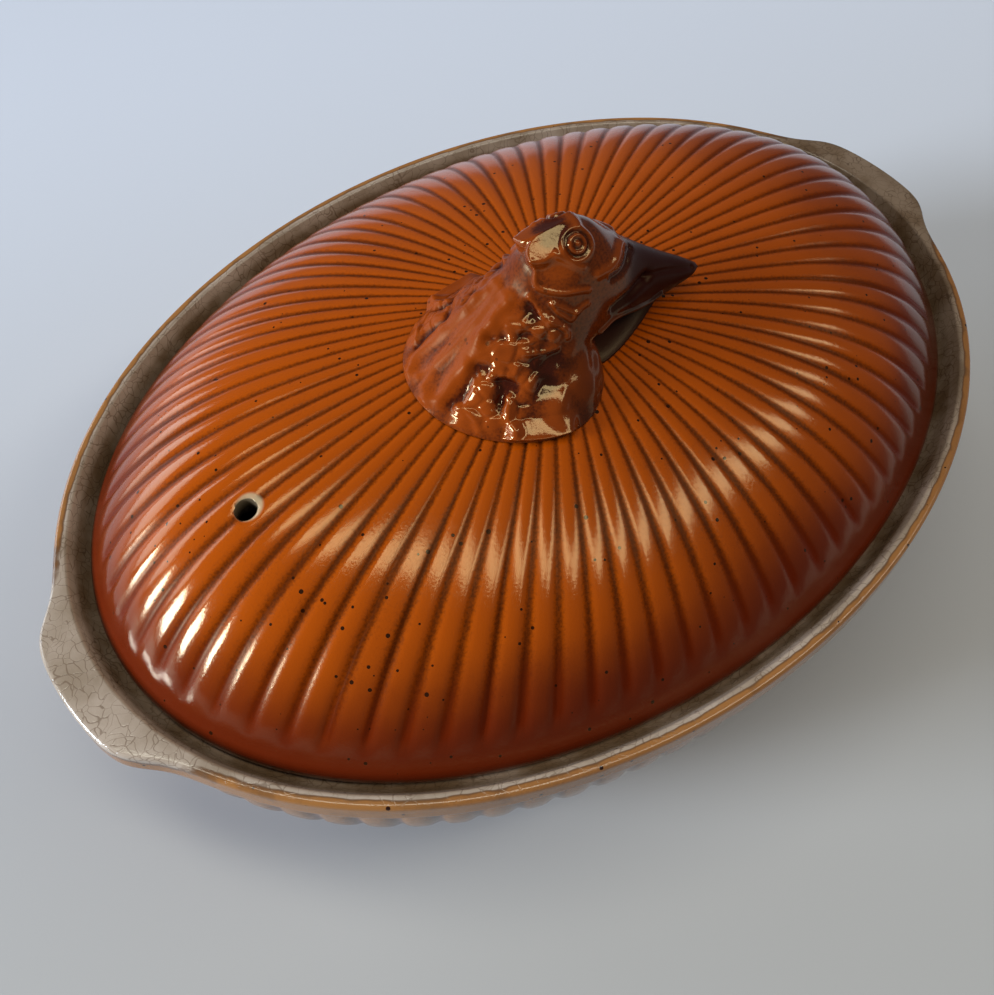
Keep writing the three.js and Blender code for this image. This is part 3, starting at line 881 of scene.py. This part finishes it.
# %% Node helpers
def feed(tree, socket, value):
    """Fills an input, with a link where the value is another socket."""
    if isinstance(value, bpy.types.NodeSocket):
        tree.links.new(value, socket)
    else:
        socket.default_value = value


def add_node(tree, kind, inputs=None, **settings):
    """A node of that kind with its settings and its inputs filled."""
    node = tree.nodes.new(kind)
    for key, value in settings.items():
        setattr(node, key, value)
    for key, value in (inputs or {}).items():
        feed(tree, node.inputs[key], value)
    return node


def mix_colours(tree, amount, first, second, blend="MIX"):
    """The first colour times one minus the amount, plus the blended colour times the amount."""
    node = add_node(tree, "ShaderNodeMix", {0: amount, 6: first, 7: second}, data_type="RGBA",
                    blend_type=blend)
    return node.outputs[2]


def number(tree, operation, first, second=0.0, third=0.0):
    """One calculation: MULTIPLY_ADD is the first times the second, plus the third."""
    node = add_node(tree, "ShaderNodeMath", {0: first, 1: second, 2: third}, operation=operation)
    return node.outputs[0]


def ramp(tree, value, low, high, to_low=0.0, to_high=1.0):
    """to_low where the value is at low and to_high where it is at high, with a soft S between."""
    node = add_node(tree, "ShaderNodeMapRange", {
        "Value": value, "From Min": low, "From Max": high, "To Min": to_low, "To Max": to_high,
    }, interpolation_type="SMOOTHSTEP")
    return node.outputs["Result"]


def noise(tree, where, scale, detail=3.0, roughness=0.5):
    """Clouds between 0 and 1; the scale is how many there are in a metre."""
    node = add_node(tree, "ShaderNodeTexNoise", {
        "Vector": where, "Scale": scale, "Detail": detail, "Roughness": roughness})
    return node.outputs["Fac"]


def new_group(name, inputs, outputs):
    """An empty node group with named sockets, and its two end nodes."""
    tree = bpy.data.node_groups.new(name, "ShaderNodeTree")
    for label, kind, value in inputs:
        socket = tree.interface.new_socket(label, in_out="INPUT", socket_type=kind)
        if value is not None:
            socket.default_value = value
    for label, kind in outputs:
        tree.interface.new_socket(label, in_out="OUTPUT", socket_type=kind)
    return tree, tree.nodes.new("NodeGroupInput"), tree.nodes.new("NodeGroupOutput")


print("helpers ready, Blender", bpy.app.version_string)

# %% [markdown]
# ## The amber glaze
#
# A glaze is a thin layer of coloured glass. Where it runs off an edge it is thin and bright, and
# where it gathers in a groove it is thick and dark. Iron in the clay burns through it as small
# dark specks. The dish, the lid and the head all wear it, and three copies would soon differ, so
# it is a node group, built once. It takes the thin, the thick and the burnt colour, how much
# glaze has gathered and how hard the place was fired, and it returns a colour, a fine height for
# the bump and a roughness.


# %% The amber glaze as a node group
THIN_AMBER = (0.33, 0.054, 0.001, 1)
THICK_AMBER = (0.08, 0.013, 0.001, 1)
BURNT_AMBER = (0.105, 0.01, 0.0015, 1)
IRON = (0.02, 0.004, 0.001, 1)
SPECKS_A_METRE = 450.0
SPECK_RARITY = 0.8


def make_amber_group():
    """Gathered mixes the thin colour with the thick one, fired mixes that with the burnt one, and
    both are varied by wide clouds. A speck is drawn round the point of one cell in five."""
    colour, value = "NodeSocketColor", "NodeSocketFloat"
    tree, given, result = new_group("Amber glaze", [
        ("Where", "NodeSocketVector", None),
        ("Thin", colour, THIN_AMBER),
        ("Thick", colour, THICK_AMBER),
        ("Burnt", colour, BURNT_AMBER),
        ("Gathered", value, 0.0),
        ("Fired", value, 0.0),
        ("Specks", value, 1.0),
    ], [("Colour", colour), ("Height", value), ("Roughness", value)])
    where = given.outputs["Where"]
    clouds = noise(tree, where, 22.0, 4.0, 0.6)
    mottle = noise(tree, where, 1500.0, 2.0, 0.6)
    uneven = ramp(tree, mottle, 0.35, 0.75, -0.13, 0.16)
    gathered = number(tree, "ADD", given.outputs["Gathered"], uneven)
    gathered = number(tree, "ADD", gathered, ramp(tree, clouds, 0.3, 0.7, -0.12, 0.14))
    thickness = ramp(tree, gathered, 0.0, 1.0)
    glaze = mix_colours(tree, thickness, given.outputs["Thin"], given.outputs["Thick"])
    fired = number(tree, "ADD", given.outputs["Fired"], ramp(tree, clouds, 0.3, 0.7, -0.12, 0.12))
    glaze = mix_colours(tree, ramp(tree, fired, 0.0, 1.0), glaze, given.outputs["Burnt"])
    dots = add_node(tree, "ShaderNodeTexVoronoi", {
        "Vector": where, "Scale": SPECKS_A_METRE, "Randomness": 1.0})
    size = ramp(tree, noise(tree, where, 90.0, 2.0), 0.35, 0.7, 0.06, 0.26)
    dot = number(tree, "LESS_THAN", dots.outputs["Distance"], size)
    few = add_node(tree, "ShaderNodeSeparateColor", {"Color": dots.outputs["Color"]})
    few = number(tree, "GREATER_THAN", few.outputs[0], SPECK_RARITY)
    speck = number(tree, "MULTIPLY", number(tree, "MULTIPLY", dot, few), given.outputs["Specks"])
    glaze = mix_colours(tree, speck, glaze, IRON)
    feed(tree, result.inputs["Colour"], glaze)
    feed(tree, result.inputs["Height"], number(tree, "MULTIPLY", mottle, 0.5))
    feed(tree, result.inputs["Roughness"], ramp(tree, mottle, 0.3, 0.8, 0.11, 0.18))
    return tree


amber_group = make_amber_group()
print("group", amber_group.name, "with", len(amber_group.nodes), "nodes")

# %% [markdown]
# ## What all the glazed surfaces share
#
# Each material is one Principled shader with the same gloss. On the real amber glaze the
# reflections look a little warm. Warm lamps would colour the table and the cream as well, so the
# tint is set in the shader. The patterns read the Object coordinates, in metres, and the values
# that were worked out with the shapes are read by their names.


# %% Material helpers
GLAZE_IOR = 1.55
BUMP_STRENGTH = 0.25
BUMP_HEIGHT = 0.0002
WARM_GLINT = (1.0, 0.76, 0.42, 1)
PLAIN_GLINT = (1, 1, 1, 1)


def new_material(name, preview):
    """A material with its nodes on, its tree and its shader."""
    material = bpy.data.materials.new(name)
    material.use_nodes = True
    material.diffuse_color = preview
    return material, material.node_tree, material.node_tree.nodes["Principled BSDF"]


def place(tree):
    """The Object coordinates: the place of each point in metres."""
    return add_node(tree, "ShaderNodeTexCoord").outputs["Object"]


def attribute(tree, name):
    """The value that was stored with each point under that name."""
    return add_node(tree, "ShaderNodeAttribute", attribute_name=name).outputs["Fac"]


def vector_math(tree, operation, first, second=(0, 0, 0)):
    """The outputs of one calculation with vectors: a difference, a length or a dot product."""
    return add_node(tree, "ShaderNodeVectorMath", {0: first, 1: second}, operation=operation).outputs


def use_group(tree, group, **inputs):
    """The outputs of a group placed in a material, with its inputs filled."""
    return add_node(tree, "ShaderNodeGroup", inputs, node_tree=group).outputs


def finish_glaze(tree, shader, colour, roughness, height, tint=WARM_GLINT):
    """Feeds the shader its colour and roughness, and its normal through a fine bump."""
    bump = add_node(tree, "ShaderNodeBump", {
        "Height": height, "Strength": BUMP_STRENGTH, "Distance": BUMP_HEIGHT})
    feed(tree, shader.inputs["Base Color"], colour)
    feed(tree, shader.inputs["Roughness"], roughness)
    feed(tree, shader.inputs["Normal"], bump.outputs["Normal"])
    shader.inputs["IOR"].default_value = GLAZE_IOR
    shader.inputs["Specular Tint"].default_value = tint


print("glazes share an IOR of", GLAZE_IOR)

# %% [markdown]
# ## Places on the dish
#
# Some marks belong to a place: the rim of the steam hole, and the painted shade that darkens the
# far end of the dish. They could be painted on a picture wrapped round the piece. It is shorter to
# let each point work out how far it lies from a centre, or how far along the dish.


# %% Masks by place
SHADE_FROM = 0.02
SHADE_FULL = 0.14


def away_in_plan(tree, where, centre):
    """The distance in plan from a centre given in millimetres."""
    away = vector_math(tree, "SUBTRACT", where, (centre[0] * MM, centre[1] * MM, 0))[0]
    flat = vector_math(tree, "MULTIPLY", away, (1, 1, 0))[0]
    return vector_math(tree, "LENGTH", flat)["Value"]


def far_end_shade(tree, where):
    """0 up to a little beyond the middle of the dish, and 1 at the far end, which is darkened as painted
    shade.
    """
    x = add_node(tree, "ShaderNodeSeparateXYZ", {"Vector": where}).outputs["X"]
    return ramp(tree, x, SHADE_FROM, SHADE_FULL)


# The darkening at that end is painted shade.
print("the flame's end is darkest from", SHADE_FULL, "m on")

# %% [markdown]
# ## The glaze of the lid
#
# The lid is amber on its back and brick red towards its edge, where the kiln was hottest. At its
# far end it is darker still, most of all near the edge, which is painted shade. The red could be
# painted on by hand. Here it follows the distance in from the edge, which is stored with each
# point and is even all round.
# Paler clay shows beside the steam hole, and inside the hole the shade is painted in dark. The
# grooves are less shiny than the backs of the reeds.


# %% Material of the lid
RED_BAND = 42.0
SHADE_TINT = (0.3, 0.4, 0.5, 1)
PALE_RING = (0.42, 0.33, 0.2, 1)
HOLE_PAINTED_SHADE = (0.01, 0.006, 0.004, 1)


def make_lid_glaze():
    """Fired falls from 1 at the edge to 0 at the red band's width, plus 0.55 of painted shade at the far
    end.
    """
    material, tree, shader = new_material("amber_glaze_lid", (0.5, 0.17, 0.03, 1))
    where = place(tree)
    inward = attribute(tree, "inward")
    fired = ramp(tree, inward, 0.0, RED_BAND, 1.0, 0.0)
    # The far end's share added here is painted shade.
    fired = number(tree, "MULTIPLY_ADD", far_end_shade(tree, where), 0.55, fired)
    groove = attribute(tree, "groove")
    gathered = number(tree, "MULTIPLY", groove, 0.85)
    glaze = use_group(tree, amber_group, Where=where, Gathered=gathered, Fired=fired)
    near_edge = ramp(tree, inward, 5.0, 30.0, 0.8, 0.0)
    # Near the edge at the far end the colour is darkened further as painted shade.
    edge_shade = number(tree, "MULTIPLY", far_end_shade(tree, where), near_edge)
    colour = mix_colours(tree, edge_shade, glaze["Colour"], SHADE_TINT, "MULTIPLY")
    beside = away_in_plan(tree, where, VENT + [0.8, 0.0])
    ring = number(tree, "MULTIPLY", ramp(tree, beside, 0.0039, 0.0029), 0.7)
    colour = mix_colours(tree, ring, colour, PALE_RING)
    # The inside of the steam hole is painted dark as shade.
    inside = ramp(tree, away_in_plan(tree, where, VENT), 0.0029, 0.0026)
    colour = mix_colours(tree, inside, colour, HOLE_PAINTED_SHADE)
    rough = number(tree, "MULTIPLY_ADD", groove, 0.2, glaze["Roughness"])
    finish_glaze(tree, shader, colour, rough, glaze["Height"])
    feed(tree, shader.inputs["Specular IOR Level"], ramp(tree, groove, 0.1, 0.7, 0.5, 0.08))
    return material


lid_glaze = make_lid_glaze()
print("material", lid_glaze.name, "with", len(lid_glaze.node_tree.nodes), "nodes")

# %% [markdown]
# ## The glaze of the head
#
# The head wears the same glaze, put on thicker and fired darker: brown on the neck and almost
# black on the beak, where painted shade adds to the burnt glaze. So it takes the same group with
# three colours of its own, and the values that were worked out from the carving say where the
# glaze gathered, where it burnt or lies in painted shade, and where it went dull.


# %% Material of the head
THIN_BROWN = (0.225, 0.037, 0.003, 1)
THICK_BROWN = (0.035, 0.004, 0.002, 1)
# The burnt colour also paints the shade on the beak, the front and the clay under the beak.
BURNT_BROWN_AND_SHADE = (0.02, 0.0025, 0.0015, 1)


def make_head_glaze():
    """The roughness is 0.7 of the group's, plus a quarter where the head is dull."""
    material, tree, shader = new_material("brown_glaze_head", (0.2, 0.05, 0.02, 1))
    glaze = use_group(tree, amber_group, Where=place(tree), Gathered=attribute(tree, "gathered"),
                      Fired=attribute(tree, "fired"), Specks=0.5, Thin=THIN_BROWN,
                      Thick=THICK_BROWN, Burnt=BURNT_BROWN_AND_SHADE)
    dull = attribute(tree, "dull")
    shiny = number(tree, "MULTIPLY", glaze["Roughness"], 0.7)
    rough = number(tree, "MULTIPLY_ADD", dull, 0.25, shiny)
    finish_glaze(tree, shader, glaze["Colour"], rough, glaze["Height"])
    feed(tree, shader.inputs["Specular IOR Level"], ramp(tree, dull, 0.0, 1.0, 0.5, 0.08))
    return material


head_glaze = make_head_glaze()
print("material", head_glaze.name, "with", len(head_glaze.node_tree.nodes), "nodes")

# %% [markdown]
# ## The dish's two glazes
#
# The dish is dipped twice: amber outside, and a pale grey cream inside that comes up over the
# lip. Two materials could meet at an edge of the mesh, but the real border is soft and burnt, so
# one material mixes both by the side that is stored with each point. The pale glaze shrank more
# than the clay and broke into a net of fine lines, which have taken up brown stain: they are the
# borders between the cells of a Voronoi pattern. The far end is darkened brown as painted shade.
# The slope under the lid's edge is browner too, partly its own grey-brown tone and partly painted
# shade under the lid. Both glazes meet on the rim's outer edge, where they have burnt brown
# together. The foot ring was wiped bare, or the dish would have stuck to the kiln's shelf.


# %% Material of the dish
DISH_THIN = (0.30, 0.125, 0.035, 1)
DISH_BURNT = (0.12, 0.045, 0.02, 1)
CREAM = [(0.28, 0.21, 0.155, 1), (0.42, 0.33, 0.27, 1)]
CRACK = (0.13, 0.08, 0.05, 1)
STAIN_AND_SHADE = (0.38, 0.28, 0.18, 1)
SEAM = (0.09, 0.04, 0.018, 1)
CLAY = [(0.42, 0.30, 0.19, 1), (0.52, 0.40, 0.28, 1)]


def crackle(tree, where):
    """1 on the lines of the net and 0 between them: the distance to the border of a cell over a
    line's width, which varies, with the net bent a little by clouds."""
    bend = add_node(tree, "ShaderNodeTexNoise", {"Vector": where, "Scale": 120.0, "Detail": 2.0})
    bent = mix_colours(tree, 0.004, where, bend.outputs["Color"], "LINEAR_LIGHT")
    net = add_node(tree, "ShaderNodeTexVoronoi", {"Vector": bent, "Scale": 380.0},
                   feature="DISTANCE_TO_EDGE").outputs["Distance"]
    width = ramp(tree, noise(tree, where, 90.0, 2.0), 0.35, 0.7, 0.02, 0.08)
    return ramp(tree, number(tree, "DIVIDE", net, width), 1.0, 0.2)


def make_dish_glaze():
    """Side 0 is amber and side 1 is cream, with a burnt seam between 0.05 and 0.75, and below 0
    is bare clay."""
    material, tree, shader = new_material("dish_glazes", (0.45, 0.4, 0.33, 1))
    where = place(tree)
    amber = use_group(tree, amber_group, Where=where, Gathered=attribute(tree, "groove"), Fired=0.12,
                      Thin=DISH_THIN, Burnt=DISH_BURNT)
    line = crackle(tree, where)
    tone = ramp(tree, noise(tree, where, 60.0, 4.0, 0.6), 0.3, 0.7)
    cream = mix_colours(tree, tone, *CREAM)
    cream = mix_colours(tree, number(tree, "MULTIPLY", line, 0.6), cream, CRACK)
    # Brown at the far end is painted shade; on the slope it is partly tone and partly painted shade
    stained = number(tree, "MAXIMUM", far_end_shade(tree, where), attribute(tree, "stain"))
    stained = number(tree, "MULTIPLY", stained, ramp(tree, tone, 0.0, 1.0, 0.95, 0.65))
    cream = mix_colours(tree, stained, cream, STAIN_AND_SHADE, "MULTIPLY")
    side = attribute(tree, "side")
    wander = ramp(tree, noise(tree, where, 150.0, 4.0), 0.3, 0.7, -0.2, 0.2)
    edge = number(tree, "ADD", side, wander)
    colour = mix_colours(tree, ramp(tree, edge, 0.3, 0.6), amber["Colour"], cream)
    seam = number(tree, "MULTIPLY", ramp(tree, edge, 0.05, 0.4), ramp(tree, edge, 0.75, 0.45))
    colour = mix_colours(tree, number(tree, "MULTIPLY", seam, 0.75), colour, SEAM)
    bare = ramp(tree, side, -0.3, -0.7)
    colour = mix_colours(tree, bare, colour, mix_colours(tree, tone, *CLAY))
    rough = number(tree, "MULTIPLY_ADD", bare, 0.6, amber["Roughness"])
    height = number(tree, "MULTIPLY_ADD", line, -0.4, amber["Height"])
    finish_glaze(tree, shader, colour, rough, height, PLAIN_GLINT)
    return material


dish_glaze = make_dish_glaze()
print("material", dish_glaze.name, "with", len(dish_glaze.node_tree.nodes), "nodes")

# %% [markdown]
# ## Making the pieces
#
# Each stack of rings becomes an object with its glaze, and the values worked out above go with
# its points. The steam hole could be left out of the grid, but a round hole does not follow the
# columns, so it is cut with a boolean once the lid is made.

# %% Pieces
dish = piece_from_rings("dish_stoneware", dish_rings, dish_glaze, groove=dish_groove,
                        side=dish_side, stain=dish_stain)
lid = piece_from_rings("lid_stoneware", lid_rings, lid_glaze, groove=lid_groove, inward=lid_inward)
head = piece_from_rings("bird_head", head_rings, head_glaze, gathered=head_gathered,
                        fired=head_fired, dull=head_dull)
# The clay under the beak is thick, burnt and dull all over, so that it is dark: painted shade from the beak
# above.
full_painted_shade = np.ones(fillet_rings.shape[:2])
fillet = piece_from_rings("beak_fillet", fillet_rings, head_glaze, gathered=full_painted_shade, fired=full_painted_shade,
                          dull=0.8 * full_painted_shade)


def cut_round_hole(piece, centre, radius, low, high):
    """Cuts an upright round hole with a boolean modifier that is applied at once."""
    turn = np.linspace(0, TURN, 65)[:-1]
    circle = np.stack([centre[0] + radius * np.cos(turn), centre[1] + radius * np.sin(turn)], -1)
    rings = np.array([np.column_stack([circle, np.full(len(turn), z)]) for z in (low, high)])
    drill = piece_from_rings("drill", rings, piece.data.materials[0])
    modifier = piece.modifiers.new("hole", "BOOLEAN")
    modifier.operation = "DIFFERENCE"
    modifier.object = drill
    modifier.solver = "MANIFOLD"
    bpy.context.view_layer.objects.active = piece
    bpy.ops.object.modifier_apply(modifier=modifier.name)
    bpy.data.objects.remove(drill)


DRILL_LOW = 80.0
DRILL_HIGH = 110.0
cut_round_hole(lid, VENT, VENT_RADIUS, DRILL_LOW, DRILL_HIGH)
lid.data.polygons.foreach_set("use_smooth", np.ones(len(lid.data.polygons), bool))
print("lid with its steam hole has", len(lid.data.polygons), "faces")

# %% Bodies
for piece, body, node, slot in ((dish, "dish", "dish", "cream_glaze"),
                                (lid, "lid", "lid", "amber_glaze"),
                                (head, "lid", "bird_head_knob", "brown_glaze"),
                                (fillet, "lid", "bird_head_knob", "brown_glaze")):
    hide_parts(node)
    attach(piece, body)
print("four pieces stand for", sorted(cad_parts))

# %% [markdown]
# ## The table
#
# The dish stands on a plain table. A single flat colour would look like cut-out paper, because
# the real one looks paler and bluer towards the far side, where the window light falls. That pool
# of light is painted into the colour, which follows the distance across the table, and grows
# darker close to the window lamps, where it would burn out to white.

# %% Table
TABLE_HALF = 2.0
TO_FAR_SIDE = (0.376, 0.925, 0)
TO_LAMPS = (-0.75, 0.66, 0)
NEAR_GREY = (0.395, 0.385, 0.39, 1)
FAR_PAINTED_LIGHT = (0.6, 0.62, 0.72, 1)
LAMP_SIDE_GREY = (0.16, 0.16, 0.17, 1)
grid = np.linspace(-TABLE_HALF, TABLE_HALF, 3)
table_mesh = bpy.data.meshes.new("table")
table_mesh.from_pydata([(x, y, 0.0) for y in grid for x in grid], [],
                       [(i, i + 1, i + 4, i + 3) for i in (0, 1, 3, 4)])
table = bpy.data.objects.new("table", table_mesh)
bpy.context.scene.collection.objects.link(table)
table_material, table_tree, table_shader = new_material("table", (0.5, 0.52, 0.57, 1))


def how_far(tree, direction, low, high):
    """0 to 1 between two distances in a direction: the dot product of place and direction."""
    far = vector_math(tree, "DOT_PRODUCT", place(tree), direction)["Value"]
    return ramp(tree, far, low, high)


# Paler and bluer towards the far side: a painted pool of window light
painted_window_light = how_far(table_tree, TO_FAR_SIDE, -0.2, 0.32)
table_colour = mix_colours(table_tree, painted_window_light, NEAR_GREY, FAR_PAINTED_LIGHT)
near_lamps = how_far(table_tree, TO_LAMPS, 0.4, 1.7)
table_colour = mix_colours(table_tree, near_lamps, table_colour, LAMP_SIDE_GREY)
feed(table_tree, table_shader.inputs["Base Color"], table_colour)
table_shader.inputs["Roughness"].default_value = 0.65
table_shader.inputs["Specular IOR Level"].default_value = 0.25
table_mesh.materials.append(table_material)
print("table", 2 * TABLE_HALF, "m wide")

# %% [markdown]
# ## Lamps
#
# A glossy glaze shows its lamps, so their shape and place matter more than their number. A point
# lamp would make one hard dot. Flat panels give the white ovals of a real window instead: the
# bright one, low on the left, on the near shoulder of the lid, and a dimmer one on the far side
# for the sheen there. Two long warm panels overhead make the soft band across the front.


# %% Lamps
# name, centre, direction of its back, direction of its long side, width, height, colour and
# the brightness that its reflection shows
LAMPS = [
    ("window", (-4.58, 1.87, 1.52), (-0.9, 0.34, 0.28), (0.33, 0.94, 0), 1.56, 1.76,
     (0.8, 0.91, 1.0), 50.0),
    ("far_window", (-1.24, 2.3, 0.7), (-0.45, 0.86, 0.24), (0.92, 0.39, 0), 1.9, 1.1,
     (0.7, 0.86, 1.0), 4.2),
    ("ceiling_left", (-0.13, -0.08, 1.5), (0, 0, 1), (0.405, -0.914, 0), 1.35, 0.28,
     (1.0, 0.98, 0.82), 6.6),
    ("ceiling_right", (1.0, -0.85, 1.5), (0, 0, 1), (1, 0, 0), 1.6, 0.38,
     (1.0, 0.97, 0.82), 6.2),
]


def panel_lamp(name, centre, back, across, width, height, colour, radiance):
    """A flat lamp whose power is pi times its area times the brightness it shows. Its axes are
    the long side, made square to the back, the cross product of the two, and the back."""
    back, x = Vector(back).normalized(), Vector(across)
    x = (x - back * x.dot(back)).normalized()
    lamp = bpy.data.lights.new(name, "AREA")
    lamp.shape = "RECTANGLE"
    lamp.size = width
    lamp.size_y = height
    lamp.energy = math.pi * width * height * radiance
    lamp.color = colour
    item = bpy.data.objects.new(name, lamp)
    item.matrix_world = Matrix((x, back.cross(x), back)).transposed().to_4x4()
    item.location = centre
    bpy.context.scene.collection.objects.link(item)
    print("lamp", name, round(lamp.energy, 1), "W")


for settings in LAMPS:
    panel_lamp(*settings)

# %% [markdown]
# ## The world
#
# With the lamps alone the shadows would be too dark. More lamps could fill them, but each would
# show in the glaze. So the world gives a weak even light from all sides, whose reflection has no
# shape. It looks brighter only where the camera sees it directly, beyond the table.

# %% World
WORLD_COLOUR = (0.88, 0.93, 1.0, 1)
WORLD_LIGHT = 0.12
WORLD_SEEN = 0.55
world = bpy.data.worlds.new("room")
bpy.context.scene.world = world
world.use_nodes = True
backdrop = world.node_tree.nodes["Background"]
backdrop.inputs["Color"].default_value = WORLD_COLOUR
path = add_node(world.node_tree, "ShaderNodeLightPath")
strength = number(world.node_tree, "MULTIPLY_ADD", path.outputs["Is Camera Ray"], WORLD_SEEN, WORLD_LIGHT)
feed(world.node_tree, backdrop.inputs["Strength"], strength)
print("world", world.name, "lights with", WORLD_LIGHT)

# %% [markdown]
# ## Camera
#
# The camera looks down at the dish from the place that the photograph was taken from. It could
# be moved by eye until the picture fits. The rim is an oval of known size, though, so its
# outline in the picture fixes the camera: its lens, its place, and how far it is tilted up from
# looking straight down, rolled, and turned round the upright.

# %% Camera
SENSOR_WIDTH = 36.0
LENS = 39.404
CAMERA_PLACE = (-0.137482, -0.137612, 0.3031)
# tilt, roll and turn in degrees
CAMERA_ANGLES = (33.6812, -0.8367, -40.1136)
camera_data = bpy.data.cameras.new("camera")
camera_data.sensor_width = SENSOR_WIDTH
camera_data.lens = LENS
camera = bpy.data.objects.new("camera", camera_data)
turned = Euler([math.radians(angle) for angle in CAMERA_ANGLES]).to_matrix().to_4x4()
camera.matrix_world = Matrix.Translation(CAMERA_PLACE) @ turned
bpy.context.scene.collection.objects.link(camera)
bpy.context.scene.camera = camera
bpy.context.scene.view_settings.view_transform = "Standard"
print("camera at", tuple(round(v, 3) for v in camera.matrix_world.translation))
